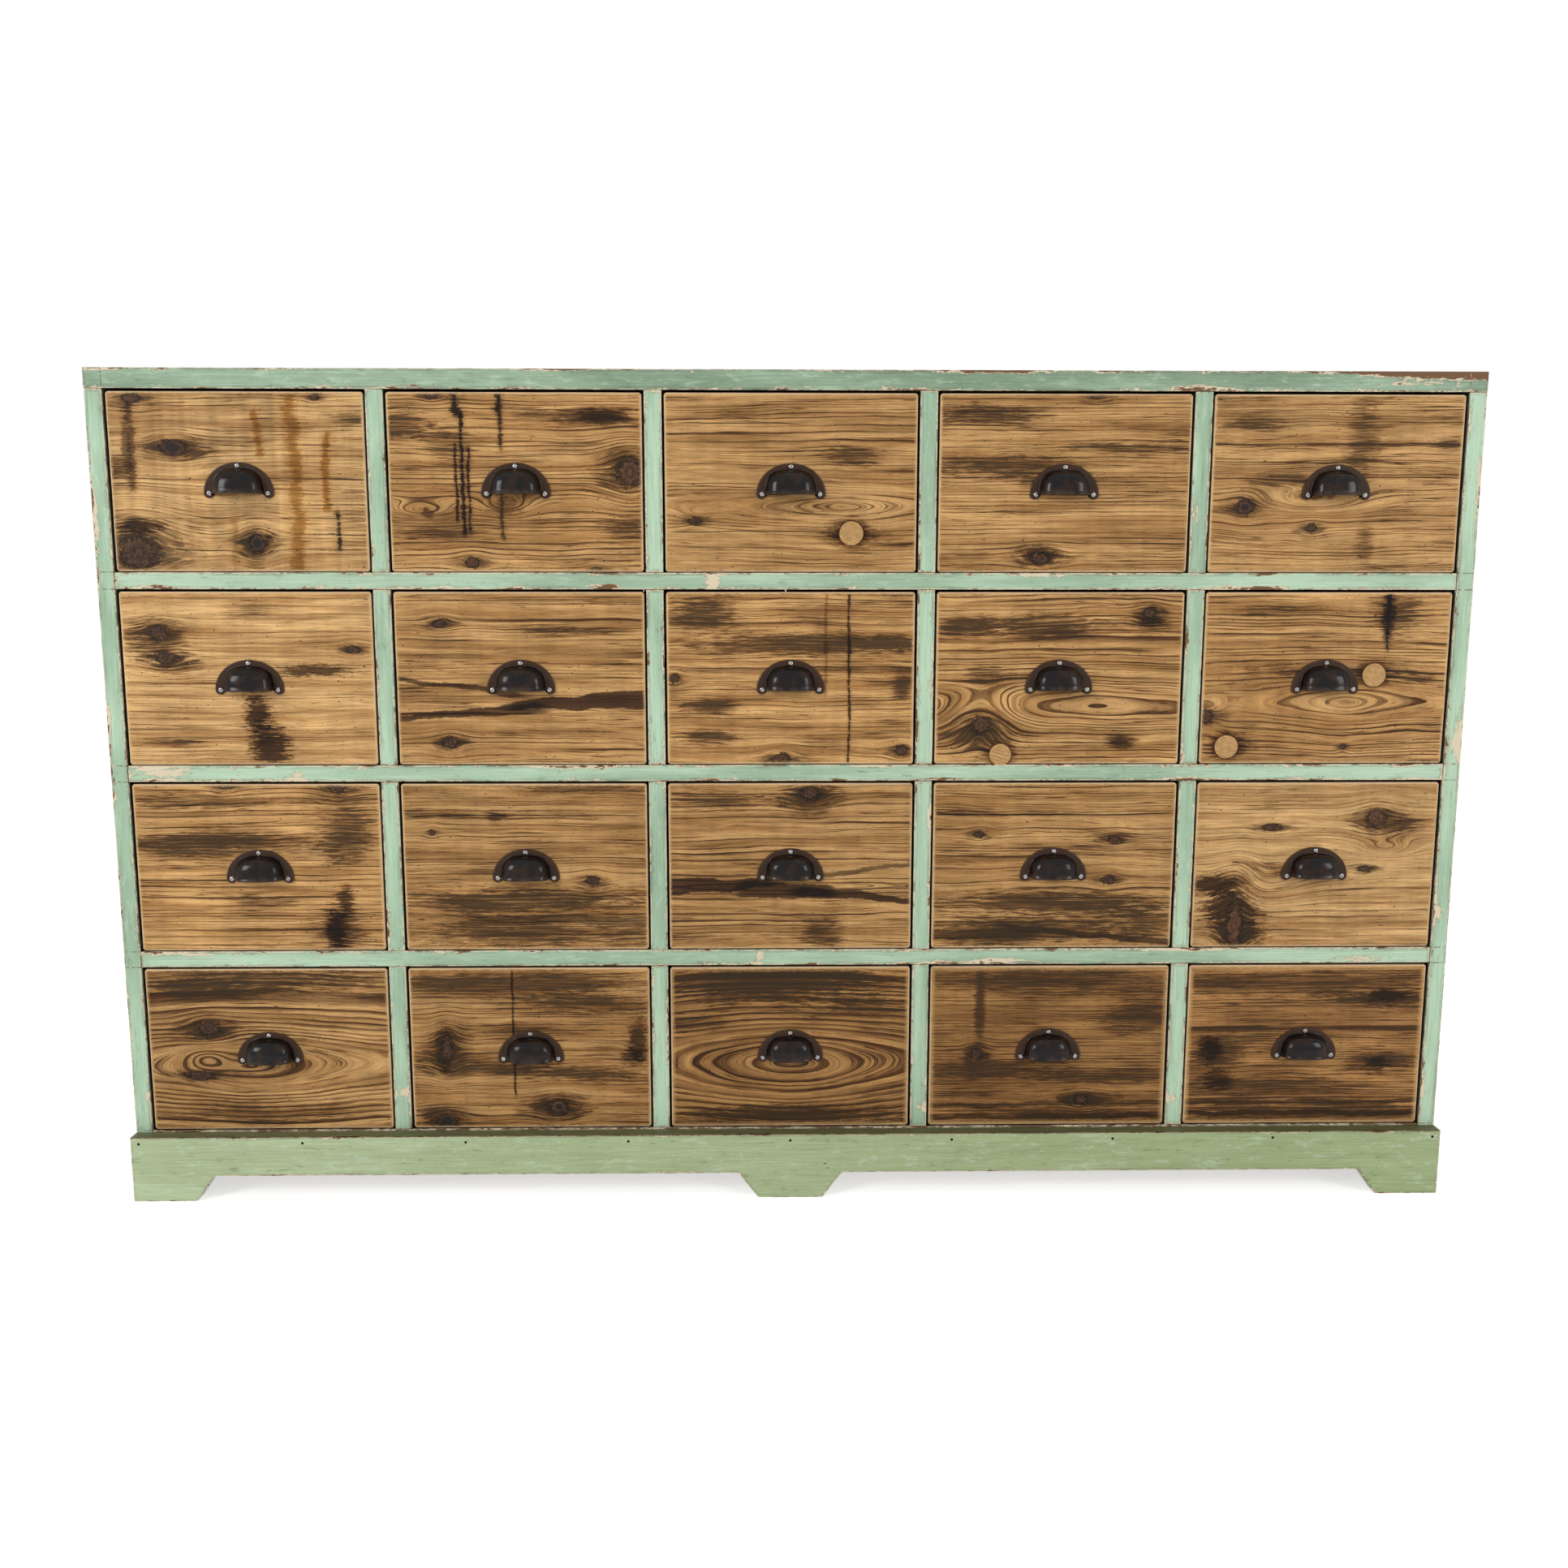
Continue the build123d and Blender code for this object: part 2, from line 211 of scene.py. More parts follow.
class Wire:
    """A value in a material's node tree, which takes part in plain arithmetic."""

    def __init__(self, tree, socket):
        self.tree = tree
        self.socket = socket

    def op(self, operation, *others):
        node = self.tree.nodes.new("ShaderNodeMath")
        node.operation = operation
        for entry, value in zip(node.inputs, (self, *others)):
            plug(self.tree, entry, value)
        return Wire(self.tree, node.outputs[0])

    def __add__(self, other):
        return self.op("ADD", other)

    def __sub__(self, other):
        return self.op("SUBTRACT", other)

    def __mul__(self, other):
        return self.op("MULTIPLY", other)

    def __truediv__(self, other):
        return self.op("DIVIDE", other)

    def __rsub__(self, other):
        return self * -1 + other

    __radd__ = __add__
    __rmul__ = __mul__

    def size(self):
        return self.op("ABSOLUTE")

    def squared(self):
        return self.op("MULTIPLY", self)

    def fall(self):
        """e to the power of minus this."""
        return (self * -1).op("EXPONENT")

    def smooth(self, low, high):
        """0 below low and 1 above high, with a soft step between them."""
        node = self.tree.nodes.new("ShaderNodeMapRange")
        node.interpolation_type = "SMOOTHSTEP"
        plug(self.tree, node.inputs["Value"], self)
        flip = low > high
        node.inputs["From Min"].default_value = min(low, high)
        node.inputs["From Max"].default_value = max(low, high)
        node.inputs["To Min"].default_value = 1 if flip else 0
        node.inputs["To Max"].default_value = 0 if flip else 1
        return Wire(self.tree, node.outputs["Result"])


def plug(tree, entry, value):
    """Links a wire to an input, or sets the input to a number or a colour."""
    if isinstance(value, Wire):
        tree.links.new(value.socket, entry)
    elif isinstance(value, tuple) and len(value) == 3 and entry.type == "RGBA":
        entry.default_value = (*value, 1)
    else:
        entry.default_value = value


def vector(tree, x, y, z):
    node = tree.nodes.new("ShaderNodeCombineXYZ")
    for entry, value in zip(node.inputs, (x, y, z)):
        plug(tree, entry, value)
    return Wire(tree, node.outputs[0])


def grain(x, y, z, detail=2, rough=0.5):
    """Noise, mostly between 0.3 and 0.7, at a point given in cells."""
    tree = next(value.tree for value in (x, y, z) if isinstance(value, Wire))
    node = tree.nodes.new("ShaderNodeTexNoise")
    node.inputs["Scale"].default_value = 1
    node.inputs["Detail"].default_value = detail
    node.inputs["Roughness"].default_value = rough
    plug(tree, node.inputs["Vector"], vector(tree, x, y, z))
    return Wire(tree, node.outputs["Fac"])


def mix(a, b, share):
    """From colour a to colour b."""
    tree = share.tree
    node = tree.nodes.new("ShaderNodeMix")
    node.data_type = "RGBA"
    node.clamp_factor = True
    plug(tree, node.inputs[0], share)
    plug(tree, node.inputs[6], a)
    plug(tree, node.inputs[7], b)
    return Wire(tree, node.outputs[2])


def stain(colour, tint, share):
    """A colour darkened towards its product with a tint."""
    made = mix(colour, tint, share)
    made.socket.node.blend_type = "MULTIPLY"
    return made


def shade(colour, share):
    """A colour multiplied by a number, where at least one of the two is a wire."""
    tree = (colour if isinstance(colour, Wire) else share).tree
    node = tree.nodes.new("ShaderNodeVectorMath")
    node.operation = "SCALE"
    plug(tree, node.inputs[0], colour)
    plug(tree, node.inputs["Scale"], share)
    return Wire(tree, node.outputs[0])


def place(tree, origin=(0, 0, 0)):
    """The point being shaded, in millimetres from an origin, as three wires."""
    node = tree.nodes.new("ShaderNodeTexCoord")
    split = tree.nodes.new("ShaderNodeSeparateXYZ")
    tree.links.new(node.outputs["Object"], split.inputs[0])
    return [Wire(tree, s) * 1000 - at for s, at in zip(split.outputs, origin)]


def attribute(tree, name):
    node = tree.nodes.new("ShaderNodeAttribute")
    node.attribute_name = name
    return Wire(tree, node.outputs["Fac"])


def material(name):
    """A new material: its tree and its Principled shader."""
    made = bpy.data.materials.new(name)
    made.use_nodes = True
    tree = made.node_tree
    return made, tree, tree.nodes["Principled BSDF"]


def finish(tree, shader, colour, roughness, height=None, deep=0.2, specular=0.5):
    """Joins the worked-out values to the shader. The relief is deep millimetres high."""
    plug(tree, shader.inputs["Base Color"], colour)
    plug(tree, shader.inputs["Roughness"], roughness)
    shader.inputs["Specular IOR Level"].default_value = specular
    if height is not None:
        bump = tree.nodes.new("ShaderNodeBump")
        bump.inputs["Strength"].default_value = 1
        bump.inputs["Distance"].default_value = deep * MM
        plug(tree, bump.inputs["Height"], height)
        tree.links.new(bump.outputs[0], shader.inputs["Normal"])


# ---- Pine ----


def rings(g, spacing, seed):
    """Growth rings across g: how far through its year each place grew, and which year."""
    turn = g / spacing + grain(g / 45, seed, 0, 1) * 9
    return turn.op("FRACT"), turn.op("FLOOR")


def late_wood(share, start=0.50):
    """The dark end of each year, which comes in softly and stops sharply."""
    return share.smooth(start, 0.90) * share.smooth(1, 0.95)


def threads(x, g, long, apart, seed, half):
    """Fine dark lines along the grain, where a noise passes through its middle."""
    wave = grain(x / long, g / apart, seed, 2, 0.5)
    return (wave - 0.5).size().smooth(half, half * 0.35)


def plain_pine(name, along):
    """Raw softwood for the hidden boards. The grain runs along axis 0, 1 or 2."""
    made, tree, shader = material(name)
    point = place(tree)
    length = point[along]
    across, through = [point[i] for i in range(3) if i != along]
    board = (across / 97).op("FLOOR") * 7.3
    bend = grain(length / 420, across / 70, through / 70 + board) * 60
    g = across + through * 0.8 + bend
    late = late_wood(rings(g, 7, board)[0])
    fibre = grain(length / 30, across / 0.9, through / 0.9, 2)
    age = grain(length / 260, across / 45, through / 45, 3)
    colour = stain(RAW_EARLY, RAW_LATE_TINT, late * 0.8)
    colour = shade(colour, fibre * 0.45 + 0.77)
    colour = mix(colour, GRIME, age.smooth(0.5, 0.85) * 0.45)
    finish(tree, shader, colour, late * 0.1 + 0.68, fibre * 0.5 + late * 0.5, 0.15, 0.2)
    return made


class Face:
    """One drawer front as it is being shaded: x and z are millimetres from its middle."""

    def __init__(self, tree, box_low, box_high, look, seed):
        self.half_w = (box_high.x - box_low.x) / 2 / MM
        self.half_h = (box_high.z - box_low.z) / 2 / MM
        middle = (box_low + box_high) / 2 / MM
        self.seed = seed
        self.look = look
        self.x, self.y, self.z = place(tree, (middle.x, box_low.y / MM, middle.z))
        x, z = self.x, self.z
        self.flat = vector(tree, x, 0, z)
        self.g = warp(self)
        share, year = rings(self.g, look.get("spacing", 6), seed)
        even = look.get("even", 0.1)
        own = grain(x / 420, year * 3.7, seed + 6).smooth(0.38, 0.60)
        own = own * (1 - even) + even
        self.late = late_wood(share, look.get("thick", 0.62)) * own
        groups = self.grown(160, 11, 18).smooth(0.45, 0.58)
        self.hair = threads(x, self.g, 260, 4.8, seed + 17, 0.026) * (groups * 0.9 + 0.1)
        self.streak = self.grown(80, 1.8, 3, 4, 0.62)
        self.fibre = self.grown(26, 0.9, 4, 2, 0.6)
        self.fine = grain(x / 7, z / 3, seed + 9, 3, 0.65)
        self.blot = grain(x / 5, z / 4, seed + 31, 3, 0.7) - 0.5
        torn = self.grown(24, 2.4, 2, 4, 0.7) - 0.5
        self.ragged = torn + (self.streak - 0.5) * 0.5

    def grown(self, long, across, layer, *detail):
        """Noise with cells of a size along the grain and across it."""
        return grain(self.x / long, self.g / across, self.seed + layer, *detail)

    def at(self, u, v):
        """Millimetres from the middle, for a place given as shares across and down."""
        return (u * 2 - 1) * self.half_w, (1 - v * 2) * self.half_h

    def away(self, u, v, rx, rz):
        """How far the shaded point is from a place, counted in radii."""
        cx, cz = self.at(u, v)
        tree = self.flat.tree
        moved = tree.nodes.new("ShaderNodeVectorMath")
        moved.operation = "MULTIPLY_ADD"
        plug(tree, moved.inputs[0], self.flat)
        moved.inputs[1].default_value = (1 / rx, 0, 1 / rz)
        moved.inputs[2].default_value = (-cx / rx, 0, -cz / rz)
        length = tree.nodes.new("ShaderNodeVectorMath")
        length.operation = "LENGTH"
        tree.links.new(moved.outputs[0], length.inputs[0])
        return Wire(tree, length.outputs["Value"])

    def swell(self, u, v, rx, rz):
        """A soft hill at a place: 1 at its top and falling away over its radii."""
        return self.away(u, v, rx, rz).squared().fall()

    def room(self):
        """Millimetres to the nearest edge."""
        side = self.x.size() * -1 + self.half_w
        end = self.z.size() * -1 + self.half_h
        return side.op("MINIMUM", end)


def warp(face):
    """The grain coordinate: lines of growth are level in it. Knots and eyes bend them."""
    look = face.look
    x, z, seed = face.x, face.z, face.seed
    g = z + face.y * 0.35 + x * look.get("tilt", 0)
    if "oval" in look:
        u, v, flat, reach = look["oval"]
        cx, cz = face.at(u, v)
        off = ((x - cx) / reach).op("TANH") * (reach * flat)
        g = ((z - cz).squared() + off.squared()).op("SQRT")
    wave = look.get("wave", 7)
    g = g + (grain(x / 230, z / 80, seed) - 0.5) * wave * 2.4
    g = g + (grain(x / 60, z / 26, seed + 5) - 0.5) * wave * 0.45
    for u, v, rx, rz, push in look.get("eyes", ()):
        g = g + face.swell(u, v, rx, rz) * push
    for u, v, rx, rz, *_ in look.get("knots", ()):
        _, cz = face.at(u, v)
        g = g - (z - cz) * face.swell(u, v, rx * 2.4, rz * 2.2) * 0.85
    for v in look.get("seams", ()):
        _, cz = face.at(0, v)
        g = g + z.op("LESS_THAN", cz) * 41
    return g


def patina(face):
    """How weathered each place is: dark patches add to it and cleaned ones take away."""
    total = grain(face.x / 120, face.z / 30, face.seed + 11, 2) - 0.5
    total = total * 1.4 + face.look.get("age", 0.2)
    for u, v, rx, rz, strength in face.look.get("smudges", ()):
        near = face.away(u, v, rx, rz) + face.ragged * 2.5
        total = total + near.smooth(1.4, 0.2) * strength
    return total


def drips(face, colour):
    """Stains that ran down the board before it was sanded: a soft band and its broken core."""
    for u, top, foot, width, strength, (soft_tint, core_tint) in face.look.get("drips", ()):
        cx, high = face.at(u, top)
        _, low = face.at(u, foot)
        wander = (grain(face.z / 34, u * 9, face.seed) - 0.5) * width * 1.2
        off = (face.x - cx + wander).size() / (width * 0.5)
        span = (face.z - (high + low) / 2).size()
        tall = span.smooth((high - low) / 2 + 5, (high - low) / 2 - 5)
        dashes = grain(face.x / 11, face.z / 1.9, face.seed + u * 40, 3, 0.7)
        wide = grain(face.z / 16, u * 5, face.seed + 1)
        core = off + (dashes - 0.5) * 3.6 + (wide - 0.5) * 1.5
        colour = stain(colour, soft_tint, (off * 0.75).squared().fall() * tall * strength)
        colour = stain(colour, core_tint, core.smooth(0.85, 0.45) * tall * strength)
    return colour


def bands(face, colour):
    """Long dark bands of resin wood, given by their two ends and half-widths."""
    for u0, v0, w0, u1, v1, w1, strength in face.look.get("bands", ()):
        x0, z0 = face.at(u0, v0)
        x1, z1 = face.at(u1, v1)
        share = (face.x - x0) / (x1 - x0)
        inside = share.smooth(-0.02, 0.14) * share.smooth(1.02, 0.86)
        middle = share * (z1 - z0) + z0
        wander = (grain(face.x / 55, v0 * 13, face.seed) - 0.5) * 14
        half = (share * (w1 - w0) + w0) * inside
        edge = (face.z - middle + wander).size() - half
        edge = edge + (face.fine - 0.5) * 5 + (face.streak - 0.5) * 6 - 1.5
        colour = stain(colour, BAND_TINT, edge.smooth(1.2, -1) * inside * strength)
    return colour


def cracks(face, colour):
    """Fine splits along the grain, and the joints of boards glued edge to edge."""
    for u0, u1, v, half in face.look.get("cracks", ()):
        x0, cz = face.at(u0, v)
        x1, _ = face.at(u1, v)
        wander = (grain(face.x / 90, v * 17, face.seed) - 0.5) * 5
        line = (face.z - cz + wander).size().smooth(half + 0.35, half - 0.2)
        inside = (face.x - (x0 + x1) / 2).size().smooth((x1 - x0) / 2, (x1 - x0) / 2 - 20)
        colour = stain(colour, CHAR_TINT, line * inside * 0.9)
    for v in face.look.get("seams", ()):
        _, cz = face.at(0, v)
        colour = stain(colour, WEATHER_TINT, (face.z - cz).size().smooth(0.8, 0.2) * 0.9)
    return colour


def knots(face, colour):
    """Knots: dark torn grain at each side, a ringed brown heart and sometimes a black hole."""
    for u, v, rx, rz, dark, *hole in face.look.get("knots", ()):
        away = face.away(u, v, rx, rz)
        near = away + face.blot * 1.7 + face.ragged * 1.1
        heart = near.smooth(1.08, 0.84)
        halo = (face.away(u, v, rx * 3.2, rz * 1.6) + face.ragged * 2.2).smooth(1.3, 0.2)
        torn = (face.streak + halo * 0.16).smooth(0.50, 0.62)
        colour = stain(colour, HALO_TINT, halo * 0.75)
        colour = mix(colour, GRIME, halo * torn * 0.85)
        ringed = (away * 14 + face.blot * 15).op("SINE") * 0.32 + 0.82
        tone = shade(mix(KNOT_PALE, KNOT, face.blot.smooth(-0.16, 0.12) * 0.5 + dark * 0.5), ringed)
        colour = mix(colour, tone, heart * 0.95)
        colour = stain(colour, CHAR_TINT, ((near - 1) / 0.16).squared().fall() * 0.85)
        for size in hole:
            colour = mix(colour, TAR, (away + face.blot * 0.9).smooth(size + 0.12, size - 0.04))
    return colour


def chars(face, colour):
    """Burnt or inky patches, nearly black, ragged along the grain."""
    for u, v, rx, rz, strength in face.look.get("chars", ()):
        near = face.away(u, v, rx, rz) + face.ragged * 3 + (face.fine - 0.5) * 1.6
        colour = stain(colour, CHAR_TINT, near.smooth(1.15, 0.75) * strength * 0.8)
        colour = stain(colour, WEATHER_TINT, near.smooth(1.7, 0.9) * strength)
    return colour


def front_pine(name, box_low, box_high, look, seed, plugs):
    """The aged, sanded pine of one drawer front."""
    made, tree, shader = material(name)
    face = Face(tree, box_low, box_high, look, seed)
    x, z = face.x, face.z
    room = face.room()
    inner = (room + (face.fine - 0.5) * 7).smooth(0.5, look.get("border", 6))

    hue = face.grown(230, 12, 8, 3, 0.6).smooth(0.34, 0.66)
    colour = mix(look.get("early", EARLY), look.get("honey", HONEY), hue * 0.75)
    ripple = grain(x / 15, z / 400, seed + 12) - 0.5
    blotch = grain(x / 90, z / 22, seed + 14, 3, 0.6) - 0.5
    colour = shade(colour, ripple * look.get("ripple", 0.3) + blotch * 0.8 + 1)
    lines = (room.smooth(0.5, 7) * 0.75 + 0.25) * look.get("lines", 0.9)
    colour = stain(colour, LATE_TINT, face.late * lines)
    colour = stain(colour, LATE_TINT, face.hair * lines * 0.7)
    colour = shade(colour, (face.fibre - 0.5) * 1.2 + (face.streak - 0.5) * 0.9 + 1)
    colour = bands(face, colour)

    old = patina(face)
    torn = (face.streak - 0.5) * 1.9 + (face.fibre - 0.5) * 0.9
    worn = torn + face.late * 0.24 + face.hair * 0.2 + old * 0.48 - 0.03
    weather = worn.smooth(0.10, 0.32) * inner * look.get("weather", 0.9)
    black = worn.smooth(0.34, 0.46) * inner * look.get("weather", 0.9)
    colour = stain(colour, WEATHER_TINT, old.smooth(0.15, 0.9) * inner * 0.5)
    colour = stain(colour, WEATHER_TINT, weather * 0.9)
    colour = mix(colour, look.get("grime", GRIME), black * 0.9)
    colour = drips(face, colour)
    colour = chars(face, colour)
    colour = knots(face, colour)
    colour = cracks(face, colour)
    nicks = face.grown(13, 1.5, 22, 1).smooth(0.74, 0.77)
    holes = grain(x / 5.2, z / 3, seed + 21, 1).smooth(0.75, 0.77) + nicks * 0.8
    colour = mix(colour, TAR, holes * 0.85)
    colour = mix(SANDED, colour, inner * 0.5 + 0.5)
    colour = shade(colour, look.get("tone", 1))
    # A pale line along the rounded arris: partly worn wood, partly a painted highlight.
    colour = mix(colour, ARRIS_WEAR_AND_HIGHLIGHT, (room + (face.fine - 0.5) * 2).smooth(3.2, 1.6) * 0.6)
    # Painted shade and weathering: the front's side faces, which show in the gaps, are darkened from
    # just behind its face.
    colour = stain(colour, EDGE_SHADE_AND_WEATHER_TINT, face.y.smooth(0.7, 2.4) * 0.9)
    for u, v, radius in plugs:
        away = face.away(u, v, radius, radius)
        colour = stain(colour, HALO_TINT, (away + face.ragged).smooth(1.7, 1) * 0.8)
        colour = stain(colour, CHAR_TINT, away.smooth(1.09, 1.02) * 0.9)
    relief = face.late * 0.45 - black * 0.4 + face.fibre * 0.35 - holes
    finish(tree, shader, colour, weather * 0.12 + 0.45, relief, 0.35, 0.14)
    return made


# ---- What each drawer front shows. Places are shares across and down; sizes are in mm ----
LOOKS = {
    "r1c1": dict(
        seams=(0.08, 0.7), lines=0.5, ripple=0.8, early=SANDED, age=0.1,
        knots=((0.25, 0.31, 17, 10, 0.7, 0.55), (0.09, 0.89, 26, 26, 0.95),
            (0.56, 0.84, 11, 13, 1, 0.5), (0.1, 0.04, 11, 8, 0.6), (0.81, 0.03, 6, 5, 0.8)),
        smudges=((0.25, 0.31, 52, 18, 0.5), (0.09, 0.74, 34, 12, 0.9), (0.55, 0.86, 22, 34, 0.8),
            (0.04, 0.42, 20, 14, 0.8), (0.93, 0.16, 34, 12, 0.6)),
        chars=((0.605, 0.81, 6, 5, 1), (0.1, 0.75, 26, 8, 0.7), (0.07, 0.3, 5, 36, 0.6)),
        drips=((0.58, 0.1, 0.36, 13, 0.9, VARNISH_DRIP), (0.715, 0, 1, 22, 0.9, VARNISH_DRIP),
            (0.845, 0.22, 0.66, 13, 1, VARNISH_DRIP), (0.885, 0.66, 0.88, 9, 0.95, TAR_DRIP),
            (0.09, 0.05, 0.55, 13, 0.8, OLD_DRIP), (0.47, 0.7, 1, 12, 0.4, VARNISH_DRIP)),
    ),
    "r1c2": dict(
        tone=1.08, seams=(0.71,), lines=0.95, age=0.1,
        knots=((0.95, 0.44, 17, 18, 0.6), (0.32, 0.95, 10, 7, 0.9), (0.81, 0.99, 7, 4, 0.8),
            (0.18, 0.02, 8, 5, 0.7)),
        smudges=((0.06, 0.18, 46, 20, 0.9), (0.24, 0.28, 40, 24, 0.7), (0.83, 0.13, 56, 13, 0.9),
            (0.93, 0.76, 40, 16, 0.8), (0.94, 0.44, 36, 30, 0.6), (0.2, 0.78, 60, 10, 0.5),
            (0.6, 0.12, 60, 10, 0.4)),
        eyes=((0.12, 0.66, 46, 12, 24), (0.46, 0.63, 34, 15, 26)),
        chars=((0.45, 0.64, 20, 10, 0.6), (0.15, 0.67, 7, 6, 0.7), (0.84, 0.13, 26, 7, 0.7)),
        drips=((0.275, 0, 0.14, 17, 1, TAR_DRIP), (0.29, 0.1, 0.8, 8, 1, TAR_DRIP),
            (0.265, 0.28, 0.72, 6, 0.95, TAR_DRIP), (0.315, 0.3, 0.78, 7, 0.95, TAR_DRIP),
            (0.44, 0, 0.12, 15, 1, TAR_DRIP), (0.445, 0.1, 0.32, 8, 0.9, TAR_DRIP),
            (0.445, 0.56, 0.82, 8, 0.8, TAR_DRIP)),
    ),
    "r1c3": dict(
        tone=0.96, spacing=6.2, lines=1, age=-0.05, oval=(0.7, 0.63, 0.18, 120), wave=6,
        knots=((0.12, 0.71, 9, 5, 1),),
        smudges=((0.74, 0.35, 50, 16, 0.9), (0.74, 0.79, 60, 12, 0.6), (0.2, 0.12, 70, 7, 0.4)),
        chars=((0.74, 0.78, 27, 15, 0.7),),
        cracks=((0, 0.62, 0.77, 0.55), (0.04, 0.55, 0.17, 0.6)),
    ),
    "r1c4": dict(
        age=0.15, lines=0.8, wave=4,
        smudges=((0.15, 0.12, 70, 14, 0.9), (0.75, 0.3, 90, 9, 0.8), (0.25, 0.4, 110, 16, 0.8),
            (0.6, 0.48, 120, 8, 0.5), (0.5, 0.75, 170, 38, -0.5), (0.42, 0.9, 40, 18, 0.7)),
        knots=((0.41, 0.92, 14, 8, 0.9), (0.62, 0.01, 8, 5, 0.7)),
        chars=((0.4, 0.9, 24, 10, 0.7),),
        cracks=((0.02, 0.45, 0.1, 0.6), (0.02, 0.35, 0.15, 0.5)),
    ),
    "r1c5": dict(
        age=0.12, lines=0.95,
        smudges=((0.6, 0.25, 26, 56, 0.7), (0.15, 0.17, 50, 12, 0.7), (0.3, 0.48, 60, 12, 0.6),
            (0.63, 0.85, 14, 34, 0.5), (0.95, 0.27, 24, 10, 0.6)),
        knots=((0.14, 0.63, 12, 10, 1, 0.35), (0.41, 0.745, 7, 6, 0.9)),
        eyes=((0.42, 0.6, 70, 16, 26),),
        chars=((0.42, 0.56, 26, 5, 0.6),),
    ),
    "r2c1": dict(
        age=-0.2, lines=0.5, early=SANDED, wave=5, tone=1.14, seams=(0.53,),
        knots=((0.15, 0.24, 12, 9, 0.9), (0.17, 0.38, 13, 9, 0.9), (0.92, 0.33, 8, 5, 1)),
        smudges=((0.16, 0.28, 58, 34, 1), (0.22, 0.42, 40, 16, 0.7), (0.5, 0.1, 40, 14, 0.6),
            (0.15, 0.87, 60, 9, 0.8), (0.92, 0.33, 30, 8, 0.6), (0.55, 0.85, 34, 44, 0.6)),
        chars=((0.75, 0.45, 42, 7, 0.9), (0.52, 0.7, 14, 24, 1), (0.57, 0.9, 22, 26, 1)),
    ),
    "r2c2": dict(
        spacing=7.4, lines=1, age=-0.05, wave=5,
        bands=((0.36, 0.67, 3, 1.25, 0.585, 16, 1), (-0.15, 0.735, 1, 0.66, 0.665, 7, 0.95),
            (-0.15, 0.48, 1.2, 0.56, 0.6, 2.6, 0.9)),
        knots=((0.21, 0.87, 10, 8, 0.8), (0.18, 0.18, 9, 6, 1)),
        smudges=((0.6, 0.22, 46, 8, 0.8), (0.2, 0.18, 40, 9, 0.7), (0.5, 0.05, 150, 9, 0.5),
            (0.8, 0.22, 60, 6, 0.6)),
    ),
    "r2c3": dict(
        tone=1.14, age=0.25, lines=0.7,
        smudges=((0.15, 0.12, 50, 26, 0.9), (0.55, 0.3, 160, 16, 0.8), (0.18, 0.66, 44, 12, 0.8),
            (0.18, 0.84, 44, 10, 0.8), (0.95, 0.55, 14, 18, 0.9), (0.9, 0.3, 50, 12, 0.8),
            (0.5, 0.65, 70, 30, -0.4)),
        knots=((0.46, 0.97, 12, 8, 1), (0.03, 0.5, 6, 6, 0.9), (0.95, 0.92, 8, 7, 0.9)),
        drips=((0.735, 0, 1, 5, 0.9, TAR_DRIP), (0.64, 0, 0.6, 6, 0.5, OLD_DRIP)),
    ),
    "r2c4": dict(
        tone=1.06, spacing=5.6, lines=1, age=0.1, oval=(0.66, 0.66, 0.2, 100), wave=8, thick=0.45,
        eyes=((0.19, 0.7, 46, 30, 34),),
        knots=((0.19, 0.77, 13, 12, 0.7), (0.86, 0.12, 9, 7, 0.9)),
        smudges=((0.47, 0.2, 80, 20, 0.9), (0.12, 0.2, 50, 16, 0.9), (0.87, 0.15, 30, 20, 0.8),
            (0.19, 0.84, 60, 26, 0.7), (0.76, 0.86, 26, 12, 0.9), (0.2, 0.47, 36, 16, 0.7)),
        chars=((0.86, 0.16, 16, 9, 0.7), (0.76, 0.88, 14, 7, 0.6), (0.27, 0.93, 24, 12, 0.5)),
    ),
    "r2c5": dict(
        tone=1.07, lines=1, age=0, oval=(0.6, 0.64, 0.3, 90), wave=8, thick=0.45,
        knots=((0.02, 0.72, 10, 10, 0.9), (0.59, 0.9, 4, 4, 0.9)),
        smudges=((0.78, 0.14, 40, 32, 0.9), (0.5, 0.45, 120, 16, 0.7), (0.85, 0.5, 50, 12, 0.6),
            (0.3, 0.12, 70, 10, 0.5), (0.1, 0.88, 40, 22, 0.7)),
        chars=((0.745, 0.13, 8, 30, 0.9), (0.11, 0.9, 26, 14, 0.6), (0.7, 0.48, 30, 12, 0.5)),
        drips=((0.745, 0, 0.34, 7, 1, INK_DRIP),),
    ),
    "r3c1": dict(
        tone=1.1, age=0.05, wave=5,
        smudges=((0.3, 0.1, 150, 12, 0.8), (0.3, 0.36, 170, 22, 0.9), (0.85, 0.3, 40, 50, 0.8),
            (0.45, 0.72, 60, 18, 0.5), (0.82, 0.84, 34, 44, 0.8), (0.2, 0.8, 60, 26, -0.4)),
        knots=((0.83, 0.02, 12, 8, 1), (0.38, 0.01, 10, 6, 1)),
        chars=((0.8, 0.88, 13, 30, 1), (0.84, 0.7, 10, 18, 0.9)),
        cracks=((0, 0.3, 0.13, 0.8), (0, 0.35, 0.26, 0.7), (0.86, 1, 0.78, 0.4)),
    ),
    "r3c2": dict(
        tone=0.96, age=0.1, lines=0.85, wave=5,
        smudges=((0.5, 0.7, 190, 20, 1), (0.5, 0.9, 190, 22, 0.9), (0.2, 0.18, 130, 6, 0.7),
            (0.38, 0.2, 14, 10, 0.7), (0.7, 0.03, 100, 7, 0.6)),
        knots=((0.77, 0.585, 9, 7, 1), (0.12, 0.29, 4, 4, 1)),
        bands=((0.2, 0.8, 2, 1.2, 0.84, 7, 0.7),),
        cracks=((0, 1, 0.19, 0.8),),
    ),
    "r3c3": dict(
        tone=0.94, spacing=7, lines=1, age=0.12, wave=6, oval=(0.45, 0.62, 0.05, 150),
